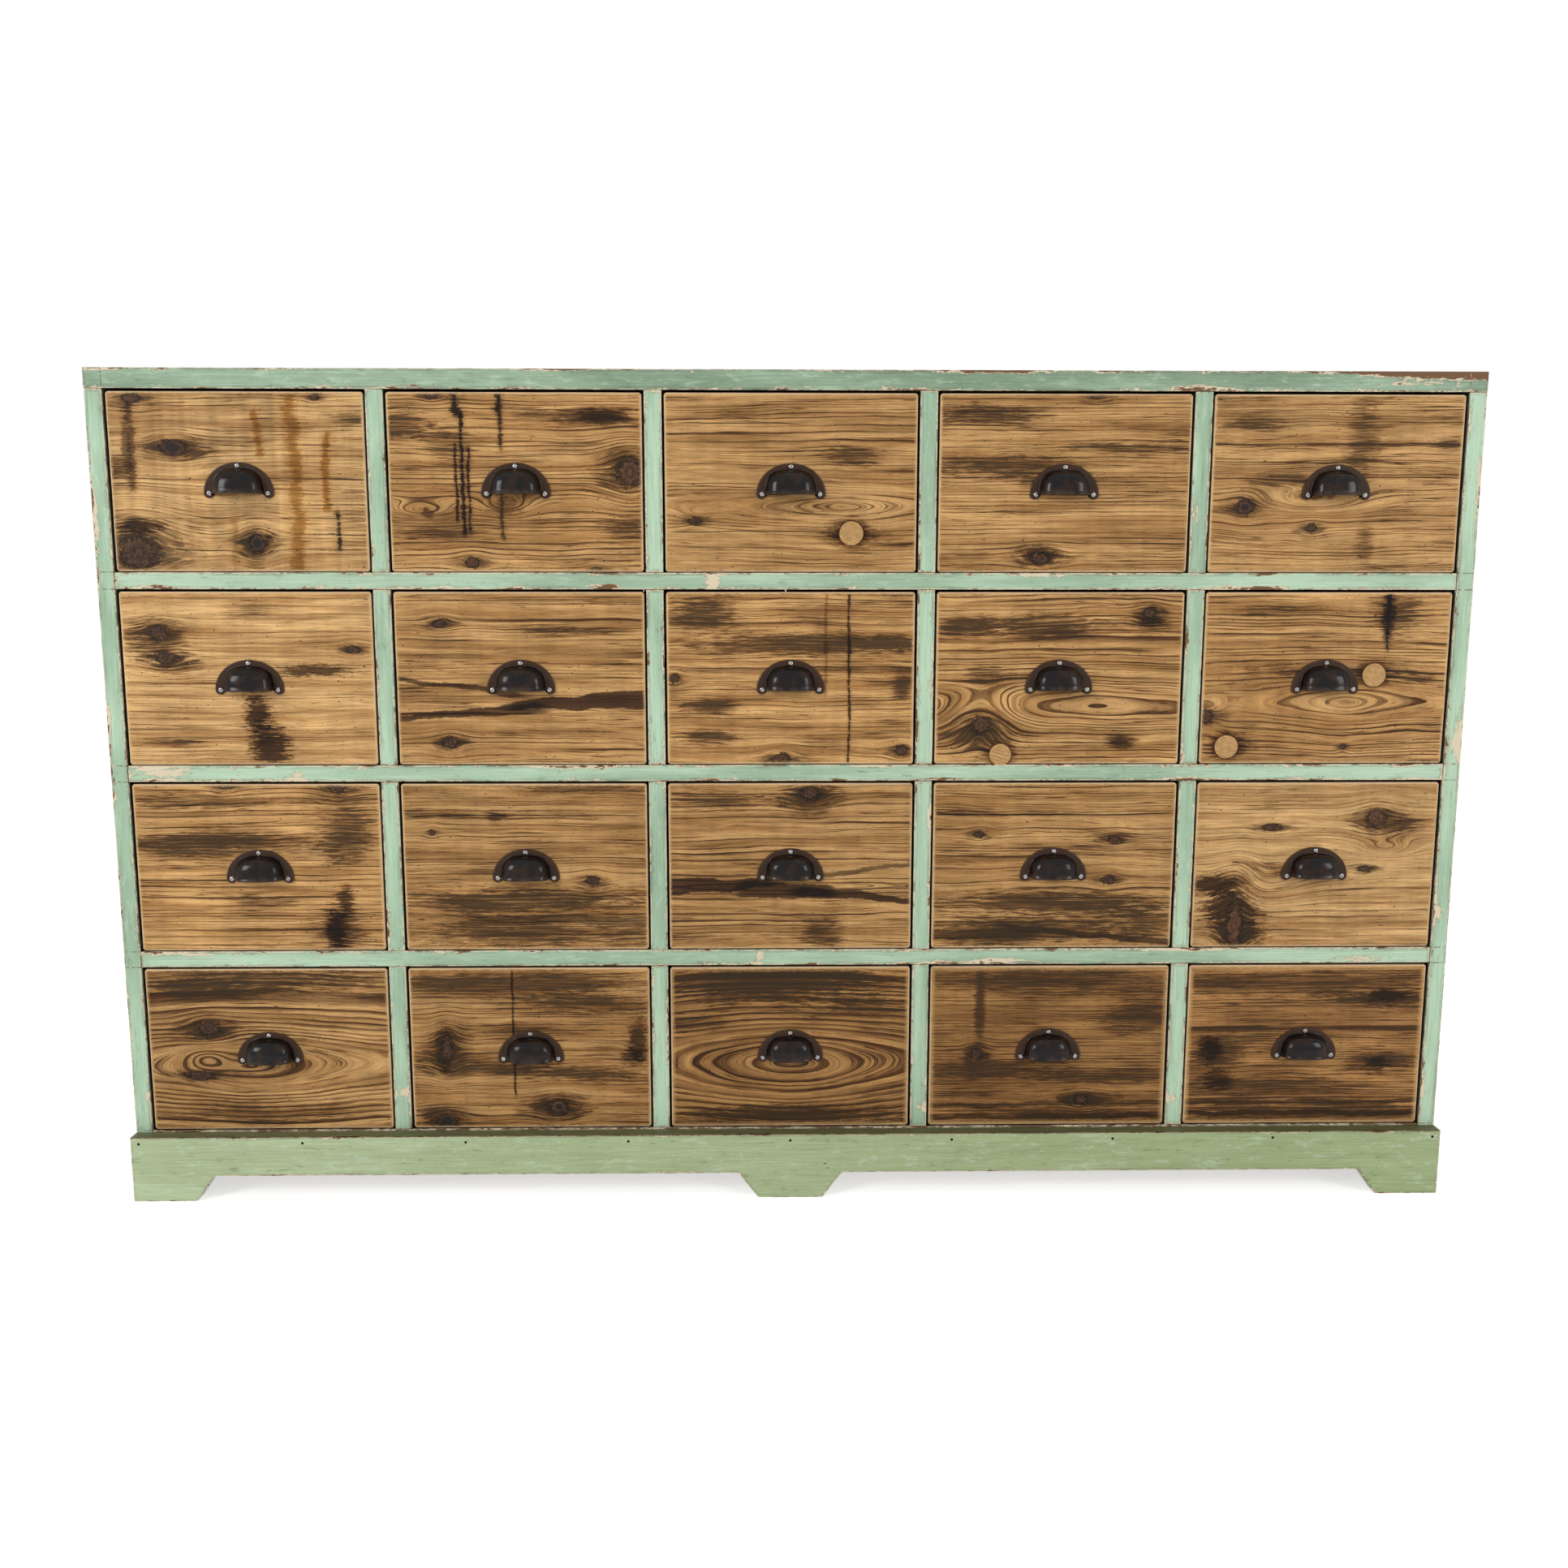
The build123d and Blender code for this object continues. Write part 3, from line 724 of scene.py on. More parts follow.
        bands=((-0.2, 0.63, 14, 0.5, 0.6, 3, 1), (0.24, 0.64, 10, 0.72, 0.665, 9, 0.95),
            (0.45, 0.65, 6, 1.2, 0.725, 1.4, 1), (0.45, 0.57, 2.4, 1.2, 0.46, 1, 0.8)),
        knots=((0.58, 0.06, 12, 10, 0.8),),
        smudges=((0.58, 0.09, 46, 24, 1), (0.63, 0.9, 36, 26, 0.9), (0.2, 0.1, 90, 14, 0.7),
            (0.2, 0.93, 120, 7, 0.6)),
    ),
    "r3c4": dict(
        tone=0.97, age=0.1, lines=0.85,
        smudges=((0.5, 0.72, 190, 18, 1), (0.35, 0.9, 150, 24, 0.9), (0.9, 0.85, 70, 24, 0.8),
            (0.3, 0.18, 160, 6, 0.7), (0.75, 0.33, 30, 8, 0.8), (0.5, 0.4, 170, 16, 0.3)),
        knots=((0.73, 0.585, 9, 6, 0.9), (0.75, 0.34, 9, 5, 0.9), (0.19, 0.31, 7, 5, 1)),
        bands=((-0.2, 0.92, 4, 0.5, 0.9, 6, 0.8), (0.2, 0.85, 2, 1.2, 1, 3.5, 0.9)),
        cracks=((0, 1, 0.19, 0.9),),
    ),
    "r3c5": dict(
        age=-0.2, lines=0.5, early=SANDED, wave=5,
        knots=((0.745, 0.22, 14, 12, 0.4), (0.71, 0.52, 10, 5, 0.9), (0.32, 0.27, 12, 5, 0.9),
            (0.18, 0.86, 11, 30, 0.2)),
        eyes=((0.8, 0.4, 40, 12, 24), (0.3, 0.62, 60, 30, 20)),
        smudges=((0.8, 0.25, 50, 30, 0.9), (0.3, 0.5, 80, 9, 0.6), (0.45, 0.55, 90, 14, 0.4)),
        chars=((0.1, 0.62, 32, 13, 1), (0.15, 0.76, 30, 22, 1), (0.2, 0.9, 32, 24, 1),
            (0.85, 0.26, 22, 8, 0.5)),
        cracks=((0.84, 1, 0.99, 1.2),),
    ),
    "r4c1": dict(
        tone=0.95, spacing=9, thick=0.34, lines=1, age=0.02, wave=6, even=0.6,
        oval=(0.42, 0.6, 0.3, 150),
        eyes=((0.23, 0.55, 30, 16, -22),),
        knots=((0.2, 0.66, 22, 6, 0.9), (0.25, 0.37, 14, 10, 1)),
        smudges=((0.5, 0.06, 190, 22, 0.9), (0.15, 0.12, 60, 14, 0.7), (0.25, 0.36, 50, 22, 0.8),
            (0.45, 0.9, 120, 20, 0.6), (0.2, 0.66, 40, 10, 0.7), (0.35, 0.14, 34, 20, 0.5)),
    ),
    "r4c2": dict(
        tone=1.04, age=0.25, lines=0.6, early=(0.5, 0.285, 0.11),
        smudges=((0.45, 0.1, 180, 18, 0.7), (0.75, 0.22, 90, 16, 0.8), (0.15, 0.5, 40, 40, 0.8),
            (0.3, 0.62, 110, 14, 0.7), (0.7, 0.66, 80, 14, 0.8), (0.12, 0.92, 40, 14, 0.9),
            (0.6, 0.86, 50, 20, 0.8), (0.5, 0.4, 80, 14, 0.5)),
        knots=((0.15, 0.5, 8, 16, 1), (0.61, 0.87, 14, 11, 0.7, 0.3), (0.14, 0.96, 14, 10, 1, 0.6)),
        chars=((0.95, 0.46, 12, 30, 0.9), (0.14, 0.5, 10, 30, 0.8), (0.92, 0.56, 14, 9, 0.8)),
        drips=((0.43, 0.02, 0.8, 4, 0.9, TAR_DRIP),),
    ),
    "r4c3": dict(
        tone=0.9, border=9, spacing=10, thick=0.32, lines=1, age=0.05, wave=6, even=0.7,
        oval=(0.5, 0.6, 0.3, 190), early=(0.5, 0.27, 0.095), honey=(0.24, 0.11, 0.034),
        smudges=((0.4, 0.1, 200, 34, 1.1), (0.5, 0.93, 190, 20, 1), (0.85, 0.25, 80, 20, 0.6),
            (0.1, 0.35, 80, 14, 0.6)),
    ),
    "r4c4": dict(
        tone=0.95, age=0.28, spacing=4.6, wave=4, early=(0.42, 0.22, 0.075),
        honey=(0.22, 0.1, 0.03), border=10,
        smudges=((0.5, 0.1, 190, 22, 0.6), (0.21, 0.25, 8, 60, 0.9), (0.2, 0.55, 18, 20, 0.9),
            (0.9, 0.33, 60, 26, 0.7), (0.25, 0.65, 100, 16, 0.7), (0.75, 0.7, 100, 12, 0.6),
            (0.5, 0.93, 190, 14, 0.5), (0.66, 0.83, 50, 12, 0.8)),
        knots=((0.2, 0.55, 7, 8, 1), (0.65, 0.84, 10, 7, 1)),
        bands=((-0.2, 0.88, 1.6, 1.2, 0.86, 1.8, 0.8), (-0.2, 0.945, 1.8, 1.2, 0.94, 2.2, 0.8)),
    ),
    "r4c5": dict(
        tone=1.08, age=0.3, spacing=4.8, wave=4, early=(0.44, 0.23, 0.08), honey=(0.22, 0.1, 0.032),
        border=10,
        smudges=((0.5, 0.12, 190, 22, 0.6), (0.8, 0.22, 90, 14, 0.9), (0.13, 0.55, 44, 26, 0.9),
            (0.82, 0.6, 60, 16, 0.8), (0.3, 0.75, 120, 12, 0.6), (0.5, 0.93, 190, 18, 0.6)),
        chars=((0.11, 0.52, 14, 18, 0.9), (0.14, 0.72, 18, 14, 0.8), (0.82, 0.62, 16, 8, 0.9),
            (0.84, 0.2, 30, 9, 0.8)),
        bands=((-0.2, 0.86, 1.8, 1.2, 0.86, 1.8, 0.8), (-0.2, 0.93, 2, 1.2, 0.93, 2.6, 0.9)),
    ),
}
PLUGS = {
    "r1c3": ((0.74, 0.78, 17),),
    "r2c4": ((0.27, 0.945, 16),),
    "r2c5": ((0.70, 0.48, 17), (0.11, 0.90, 17)),
}


# ---- Paint ----

# Places where the paint has come off: x, z, half-width, half-height, how much, and the share
# of it that goes down to bare wood
SHELF_PATCHES = (
    (-872, 626, 44, 9, 0.27, 0.2), (-690, 619, 16, 8, 0.25, 0.1), (-107, 889, 12, 9, 0.26, 0.2),
    (-249, 883, 13, 3, 0.26, 1), (-44, 357, 11, 8, 0.26, 0.2), (-855, 362, 50, 3, 0.2, 0.3),
    (560, 364, 70, 3, 0.2, 0.4), (830, 351, 60, 4, 0.2, 0.4), (560, 613, 40, 3, 0.2, 0.8),
    (340, 898, 50, 3, 0.18, 0.4), (-480, 879, 50, 3, 0.18, 0.3), (120, 632, 40, 3, 0.18, 0.4),
    (640, 881, 60, 3, 0.18, 0.4), (-330, 632, 60, 3, 0.18, 0.3), (300, 350, 60, 3, 0.18, 0.3),
)
UPRIGHT_PATCHES = (
    (943, 668, 8, 26, 0.26, 0.1), (946, 1040, 5, 22, 0.24, 0.1), (-560, 155, 9, 7, 0.26, 0.1),
    (936, 420, 7, 20, 0.22, 0.2), (-946, 980, 4, 30, 0.2, 0.2), (196, 560, 4, 20, 0.2, 0.2),
    (-946, 700, 4, 22, 0.2, 0.2), (560, 980, 4, 24, 0.2, 0.2), (190, 128, 10, 8, 0.22, 0.1),
    (930, 150, 10, 12, 0.2, 0.3), (-930, 150, 8, 10, 0.2, 0.3), (560, 140, 10, 8, 0.22, 0.3),
)
TOP_PATCHES = (
    (895, 1168, 80, 8, 0.32, 1), (800, 1171, 80, 5, 0.24, 1), (850, 1156, 70, 4, 0.2, 0.5),
    (-925, 1172, 24, 4, 0.2, 0.3), (560, 1150, 40, 3, 0.2, 0.6), (300, 1172, 60, 3, 0.2, 0.8),
    (-300, 1173, 70, 2, 0.2, 0.8),
)
# Heights at which uprights are jointed to the boards they stand between
JOINTS = sorted({round(corner.z / MM, 2) for node in ("shelf_1", "shelf_2", "shelf_3")
                 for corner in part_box(node)} | {FLOOR_Z, TOP_Z})


def paint(name, colour, dull, along, patches=(), battered=0, lit_left=None, ledge=None):
    """Old paint over cream primer, chipped most at the arrises. Brushed along axis 0 or 2.

    A board may be painted lighter towards its left end as painted light, and may have a ledge at a
    given height darkened with dirt and painted shade."""
    made, tree, shader = material(name)
    x, y, z = place(tree)
    run, up = (x, z) if along == 0 else (z, x)
    wear = attribute(tree, "wear")

    def mottle(long, across, *detail, shift=0):
        """Noise with cells of a size along the brush strokes and across them."""
        return grain(run / long, up / across, y / across + shift, *detail)

    fine = mottle(15, 3.4, 4, 0.62)
    wide = mottle(75, 30)
    brush = mottle(90, 1.5, 3, 0.6)
    tone = mottle(300, 60, 3)
    scuff = mottle(30, 9, 4, 0.7)
    specks = mottle(4, 4, 1)
    # Painted light: the board grows lighter towards its left end, the side the light comes from.
    if lit_left:
        colour = mix(lit_left, colour, x.smooth(-1500, 700))
    green = mix(colour, dull, tone.smooth(0.38, 0.62) * (0.35 if lit_left else 0.8))
    green = shade(green, (brush - 0.5) * 0.7 + 1)
    green = mix(green, PAINT_PALE, scuff.smooth(0.54, 0.66) * 0.38)
    green = mix(green, DIRT_AND_SHADOW, scuff.smooth(0.43, 0.26) * 0.42 + specks.smooth(0.77, 0.80) * 0.6)

    behind = ((y - FRONT_Y) / patch_reach).squared()
    worn = fine * 0.55 + wide * 0.45 + wear * 0.145 + battered
    stripped = worn
    for px, pz, rx, rz, amount, bare in patches:
        near = (((x - px) / rx).squared() + ((z - pz) / rz).squared() + behind).fall()
        worn = worn + near * amount
        stripped = stripped + near * (amount * bare)
    chip = worn.smooth(0.662, 0.672)
    # Painted shadow: a thin dark line round each chip, standing for the shadow of the paint's edge.
    rim = ((worn - 0.659) / 0.009).squared().fall()
    deep = (stripped + (grain(run / 40, up / 40, 7) - 0.5) * 0.26).smooth(0.715, 0.728)
    edge = wear.smooth(0.74, 1)
    dirty = wear.smooth(0.1, 0.9) * mottle(60, 8, 3, 0.65).smooth(0.42, 0.62)
    # Cream along the arrises: partly paint worn through to the primer, partly a painted highlight.
    rubbed_and_highlit = edge * mottle(34, 34, 3, 0.6).smooth(0.38, 0.50)
    bruise = mottle(22, 22, 3, 0.6, shift=9) + battered * 2.5
    bruised = edge * bruise.smooth(0.54, 0.60)
    painted = mix(green, DIRT_AND_SHADOW, dirty * 0.42)
    painted = mix(painted, PRIMER, rubbed_and_highlit * 0.85)
    painted = mix(painted, BARE, bruised * 0.7)
    painted = mix(painted, DIRT_AND_SHADOW, rim * 0.65)
    painted = mix(painted, PRIMER, chip)
    painted = mix(painted, BARE, deep)
    if not ledge:
        split = (x.size() - INNER_X).size().smooth(1.3, 0.4)
        for height in JOINTS if along == 2 else ():
            split = split + (z - height).size().smooth(1.3, 0.4)
        split = split * y.smooth(FRONT_Y + 8, FRONT_Y + 4)
        painted = mix(painted, PRIMER, split * fine.smooth(0.5, 0.6) * 0.5)
        painted = mix(painted, DIRT_AND_SHADOW, split * fine.smooth(0.62, 0.42) * 0.8)
    if battered:
        painted = mix(painted, DIRT_AND_SHADOW, (scuff * 0.6 + brush * 0.4).smooth(0.60, 0.38) * battered * 7)
    if ledge:
        # Dirt and painted shade: the top of the board is darkened at the ledge's height.
        painted = stain(painted, LEDGE_DIRT_AND_SHADE_TINT, z.smooth(ledge - 2, ledge - 0.5) * (scuff * 0.5 + 0.7))

    inside = x.size().smooth(INNER_X + 1.5, INNER_X + 0.5) * z.smooth(TOP_Z + 1.5, TOP_Z + 0.5)
    ragged = (grain(x / 14, z / 14, 3) - 0.5) * 16
    inside = inside * (y + ragged).smooth(FRONT_Y + paint_reach - 0.4, FRONT_Y + paint_reach + 0.4)
    bend = (grain(run / 300, up / 60, 1) - 0.5) * 40
    late = late_wood(rings(up + y * 0.6 + bend, 7, 2)[0])
    raw = shade(stain(RAW_EARLY, RAW_LATE_TINT, late * 0.8), brush * 0.4 + 0.75)
    within = x.size().smooth(INNER_X + 1, INNER_X + 0.4) * z.smooth(TOP_Z + 1, TOP_Z + 0.4)
    # Painted shade and grime: the inner faces of the openings are darkened just behind the front
    # edges, so the gaps round the drawers read dark.
    gap_shade_and_grime = within * y.smooth(FRONT_Y + 0.8, FRONT_Y + 3.5) * y.smooth(FRONT_Y + 60, FRONT_Y + 30)
    colour_out = stain(mix(painted, raw, inside), GAP_SHADE_AND_GRIME_TINT, gap_shade_and_grime * 0.9)
    relief = (chip * -0.5 - deep * 0.3 + brush * 0.3) * (inside * -0.7 + 1)
    finish(tree, shader, colour_out, chip * 0.2 + inside * 0.2 + 0.45, relief, 0.3, 0.25)
    return made


# ---- Metal ----


def bronze(name):
    made, tree, shader = material(name)
    x, y, z = place(tree)
    blotch = grain(x / 16, y / 16, z / 16, 3)
    pits = grain(x / 1.6, y / 1.6, z / 1.6, 2)
    wear = attribute(tree, "wear")
    plate = attribute(tree, "plate")
    colour = mix(BRONZE, BRONZE_BROWN, blotch.smooth(0.46, 0.66) * 0.5 + plate * 0.9)
    colour = mix(colour, BRONZE_RUBBED, wear * blotch.smooth(0.3, 0.6) * 0.5)
    roughness = plate * 0.25 + blotch * 0.14 + pits * 0.08 + 0.05
    finish(tree, shader, colour, roughness, pits + blotch * 1.5, 0.05, 0.2)
    return made


def steel(name):
    made, tree, shader = material(name)
    x, y, z = place(tree)
    spots = grain(x / 2, y / 2, z / 2, 2)
    shader.inputs["Metallic"].default_value = 1
    rusty = attribute(tree, "wear") + (spots - 0.5) * 1.4
    colour = mix(STEEL, STEEL_DARK, rusty.smooth(0.25, 0.75))
    finish(tree, shader, colour, spots * 0.2 + 0.2, spots, 0.03)
    return made


def nail_iron(name):
    made, tree, shader = material(name)
    x, y, z = place(tree)
    spots = grain(x / 3, y / 3, z / 3, 2)
    shader.inputs["Metallic"].default_value = 0.5
    finish(tree, shader, mix((0.05, 0.035, 0.028), (0.13, 0.05, 0.02), spots), spots * 0.2 + 0.6)
    return made


# ---- Mesh helpers ----


def skin(bm, loops, smooth=None):
    """Joins loops of vertices, in order, into a closed skin. All its strips are smooth, or some."""
    for a, b in zip(loops, loops[1:]):
        for i in range(len(a)):
            face = bm.faces.new((a[i - 1], a[i], b[i], b[i - 1]))
            face.smooth = smooth is None or i in smooth
    bm.faces.new(loops[0])
    bm.faces.new(list(reversed(loops[-1])))


def link(name, data):
    """A new object in the scene."""
    obj = bpy.data.objects.new(name, data)
    bpy.context.scene.collection.objects.link(obj)
    return obj


def piece(name, bm, materials, body, nodes=()):
    """Turns a bmesh that is already in its place into a piece that rides on a body."""
    mesh = bpy.data.meshes.new(name)
    bm.to_mesh(mesh)
    bm.free()
    for made in materials:
        mesh.materials.append(made)
    obj = link(name, mesh)
    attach(obj, body)
    if nodes:
        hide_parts(*nodes)


def cad_mesh(node):
    """A node's own mesh, with its triangles joined into whole flat faces."""
    bm = bmesh.new()
    bm.from_mesh(frame["nodes"][node].data)
    bmesh.ops.remove_doubles(bm, verts=bm.verts, dist=1e-6)
    bmesh.ops.dissolve_limit(bm, angle_limit=math.radians(1), verts=bm.verts, edges=bm.edges)
    return bm


def islands(bm):
    """The separate solids in a mesh, as lists of vertices."""
    left = set(bm.verts)
    found = []
    while left:
        start = left.pop()
        group, edge = {start}, [start]
        while edge:
            here = edge.pop()
            for link in here.link_edges:
                other = link.other_vert(here)
                if other not in group:
                    group.add(other)
                    edge.append(other)
        left -= group
        found.append(list(group))
    return found


def ease(bm, width):
    """Rounds every sharp edge, and shades only the rounding as curved."""
    sharp = [e for e in bm.edges if e.calc_face_angle(0) > math.radians(sharp_angle)]
    for face in bm.faces:
        face.smooth = False
    made = bmesh.ops.bevel(
        bm, geom=sharp, offset=width * MM, segments=2, profile=0.5,
        affect="EDGES", clamp_overlap=True, offset_type="OFFSET",
    )
    for face in made["faces"]:
        face.smooth = True


def narrow(face):
    """The smaller side of a flat face's bounds, in millimetres."""
    sizes = sorted(
        (max(v.co[i] for v in face.verts) - min(v.co[i] for v in face.verts) for i in range(3)),
        reverse=True,
    )
    return sizes[1] / MM


def add_wear_strips(bm, most_corners, width):
    """Marks how near each vertex is to an arris, in a strip along the edges of flat faces."""
    layer = bm.verts.layers.float.new("wear")
    wide = [
        f for f in bm.faces
        if not f.smooth and narrow(f) > 2.3 * wear_w and len(f.verts) <= most_corners
    ]
    bmesh.ops.inset_region(bm, faces=wide, thickness=width * MM, use_even_offset=True,
                           use_boundary=True)
    for vert in bm.verts:
        vert[layer] = 1
    for vert in {vert for face in wide for vert in face.verts}:
        vert[layer] = 0
    return layer


def waver(bm, layer, axis):
    """Cuts the board across its length and rubs its arrises away a little, unevenly."""
    low = min(v.co[axis] for v in bm.verts)
    high = max(v.co[axis] for v in bm.verts)
    normal = Vector([1 if i == axis else 0 for i in range(3)])
    count = int((high - low) / (wave_step * MM))
    for i in range(1, count):
        at = normal * (low + (high - low) * i / count)
        geometry = bm.verts[:] + bm.edges[:] + bm.faces[:]
        bmesh.ops.bisect_plane(bm, geom=geometry, plane_co=at, plane_no=normal, dist=1e-6)
    bm.normal_update()
    for vert in bm.verts:
        if vert[layer] > 0.99 and low + 1e-4 < vert.co[axis] < high - 1e-4:
            rub = noise.noise(vert.co * 34) * 0.7 + noise.noise(vert.co * 90) * 0.5
            vert.co -= vert.normal * max(0, rub) * wave_deep * MM


def painted_board(node, made, axis, most_corners=24, width=wear_w):
    """A carcass board or the plinth, from the CAD's own shape."""
    bm = cad_mesh(node)
    ease(bm, arris)
    layer = add_wear_strips(bm, most_corners, width)
    waver(bm, layer, axis)
    piece(node + "_worn", bm, [made], "carcass", [node])


def raw_board(node, made):
    bm = cad_mesh(node)
    ease(bm, raw_arris)
    piece(node + "_eased", bm, [made], "carcass", [node])


# ---- Drawers ----


def ring_outline(half_w, half_h, corner):
    """A rounded rectangle about the origin, as points in order."""
    arcs = []
    for turn, (sx, sz) in enumerate(((1, 1), (-1, 1), (-1, -1), (1, -1))):
        for i in range(6):
            angle = math.radians(90 * turn + 18 * i)
            arcs.append((sx * (half_w - corner) + corner * math.cos(angle),
                         sz * (half_h - corner) + corner * math.sin(angle)))
    points = []
    for (x0, z0), (x1, z1) in zip(arcs, arcs[1:] + arcs[:1]):
        count = max(1, int(math.dist((x0, z0), (x1, z1)) / front_step))
        for i in range(count):
            points.append((x0 + (x1 - x0) * i / count, z0 + (z1 - z0) * i / count))
    return points


def front_block():
    """The front board, rounded where it shows, with its lower middle front edge at the origin."""
    bm = bmesh.new()
    loops = []
    steps = 5
    profile = []
    for i in range(steps + 1):
        angle = math.radians(90 * i / steps)
        profile.append((front_round * (1 - math.sin(angle)), front_round * (1 - math.cos(angle))))
    profile += [(0, front_t - 0.6), (0.6, front_t)]
    for inset, y in profile:
        corner = max(front_corner - inset, 0.6)
        outline = ring_outline(FRONT_W / 2 - inset, FRONT_H / 2 - inset, corner)
        loops.append([bm.verts.new((x * MM, y * MM, (z + FRONT_H / 2) * MM)) for x, z in outline])
    skin(bm, loops)
    bmesh.ops.recalc_face_normals(bm, faces=bm.faces)
    return bm


def prism(bm, outline, x0, x1):
    """A prism from an outline in the y-z plane, between two places along x."""
    ends = [[bm.verts.new((x * MM, y * MM, z * MM)) for y, z in outline] for x in (x0, x1)]
    for i in range(len(outline)):
        bm.faces.new((ends[0][i - 1], ends[0][i], ends[1][i], ends[1][i - 1]))
    bm.faces.new(ends[0])
    bm.faces.new(list(reversed(ends[1])))


def socket_cutters():
    """What is cut out of a front: sockets for the tails and the groove for the bottom."""
    bm = bmesh.new()
    side_h = FRONT_H - side_drop
    tip = (side_h / tails - pin_w) / 2 + joint_gap
    base = tip - (front_t - lap) / tail_slope
    slope = cut_beyond / tail_slope
    outer, inner = FRONT_W / 2 + cut_beyond, FRONT_W / 2 - side_t
    for i in range(tails):
        z = side_h / tails * (i + 0.5)
        outline = [(front_t + cut_beyond, z + base - slope), (lap, z + tip), (lap, z - tip),
                   (front_t + cut_beyond, z - base + slope)]
        prism(bm, outline, inner - joint_gap, outer)
        prism(bm, outline, -outer, -inner + joint_gap)
    low, high = groove_rise - groove_gap, groove_rise + panel_t + groove_gap
    y = front_t - groove_depth - groove_gap
    groove = [(front_t + cut_beyond, low), (front_t + cut_beyond, high), (y, high), (y, low)]
    prism(bm, groove, -inner + 1, inner - 1)
    bmesh.ops.recalc_face_normals(bm, faces=bm.faces)
    return bm


def cut(bm, cutter_bm):
    """One bmesh minus another, as a mesh."""
    solids = []
    for label, part in (("cut_from", bm), ("cut_by", cutter_bm)):
        mesh = bpy.data.meshes.new(label)
        part.to_mesh(mesh)
        part.free()
        solids.append(link(label, mesh))
    base, tool = solids
    modifier = base.modifiers.new("cut", "BOOLEAN")
    modifier.operation = "DIFFERENCE"
    modifier.solver = "EXACT"
    modifier.object = tool
    bpy.context.view_layer.update()
    result = bpy.data.meshes.new_from_object(
        base.evaluated_get(bpy.context.evaluated_depsgraph_get())
    )
    for obj in solids:
        mesh = obj.data
        bpy.data.objects.remove(obj)
        bpy.data.meshes.remove(mesh)
    return result


def drawer_front(label, master, low, made, seed):
    """A copy of the front, set in its place, with its outer arrises worn a little unevenly."""
    bm = bmesh.new()
    bm.from_mesh(master)
    for vert in bm.verts:
        x, y, z = (value / MM for value in vert.co)
        room = min(FRONT_W / 2 - abs(x), z, FRONT_H - z)
        if max(y, room) < front_round + 0.1:
            rub = noise.noise(Vector((x / 42, z / 42, seed))) + 0.35
            rub = max(0, rub) * front_rub * (1 - y / (front_round + 0.2))
            vert.co.y += rub * MM
    move = Vector((low.x + FRONT_W / 2 * MM, low.y, low.z))
    bmesh.ops.translate(bm, verts=bm.verts, vec=move)
    piece("front_" + label, bm, [made], "slider_" + label, ["drawer_" + label])


def drawer_box(label, side_made, panel_made):
    """The sides, back and bottom of a drawer, from the CAD's own boards."""
    node = "drawer_" + label
    bm = cad_mesh(node)
    groups = sorted(islands(bm), key=lambda verts: min(v.co.y for v in verts))
    bmesh.ops.delete(bm, geom=groups[0], context="VERTS")
    low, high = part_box(node)
    middle = (low.x + high.x) / 2
    sides_from = (FRONT_W / 2 - side_t - 1) * MM
    ease(bm, box_arris)
    for face in bm.faces:
        in_side = abs(face.calc_center_median().x - middle) > sides_from
        face.material_index = 0 if in_side else 1
    piece("box_" + label, bm, [side_made, panel_made], "slider_" + label, [node])


def wood_plug(label, number, u, v, radius, made):
    """A round patch let into a front, a hair proud of it."""
    low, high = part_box("drawer_" + label)
    x = low.x + (high.x - low.x) * u
    z = high.z - (high.z - low.z) * v
    bm = bmesh.new()
    loops = []
    dark = bm.verts.layers.float.new("wear")
    for inset, y in ((0, 3), (0, 0.1), (0.35, -0.25), (1.3, -0.3)):
        loop = []
        for i in range(plug_sides):
            angle = math.tau * i / plug_sides
            rough = noise.noise(Vector((math.cos(angle), math.sin(angle), number)))
            reach = (radius * (1 + plug_wobble * rough) - inset) * MM
            loop.append(bm.verts.new((x + reach * math.cos(angle), low.y + y * MM,
                                      z + reach * math.sin(angle))))
            loop[-1][dark] = 0 if inset > 1 else 1
        loops.append(loop)
    skin(bm, loops)
    bmesh.ops.recalc_face_normals(bm, faces=bm.faces)
    piece(f"plug_{label}_{number}", bm, [made], "slider_" + label)


def plug_pine(name):
    """A cleaner, later piece of wood, its grain at a slant, with a dark glue line."""
    made, tree, shader = material(name)
    x, y, z = place(tree)
    g = z + x * 0.28 + (grain(x / 20, z / 20, 4) - 0.5) * 6
    late = late_wood(rings(g, 4, 3)[0])
    fibre = grain(x / 12, g / 0.8, 0, 3, 0.65)
    cloud = grain(x / 9, z / 7, 2, 3, 0.6)
    colour = shade(stain(PLUG_WOOD, LATE_TINT, late * 0.45), fibre * 1.2 + cloud * 1 - 0.1)
    glue = attribute(tree, "wear") + (cloud - 0.5) * 0.8
    colour = stain(colour, HALO_TINT, glue.smooth(0.2, 0.9))
    finish(tree, shader, colour, late * 0.1 + 0.5, fibre, 0.1, 0.14)
    return made


# ---- Cup pull ----


def power(value):
    """The value to the dome's power, which makes a squared-off curve of a circle."""
    return math.copysign(abs(value) ** (2 / dome_square), value)


def dome_point(turn, climb, inset):
    """A point of the dome: turn goes round from one side to the other, climb goes up."""
    out_share = power(math.cos(climb))
    x = (dome_w / 2 - inset) * power(math.cos(turn)) * out_share
    y = -(dome_out - inset) * power(math.sin(turn)) * out_share
    return Vector((x, y, (dome_h - inset) * power(math.sin(climb))))


def dome_foot(turn, grown):
    """A point of the dome's outline on its plate, some millimetres outside it."""
    return (dome_w / 2 + grown) * power(math.cos(turn)), (dome_h + grown) * power(math.sin(turn))


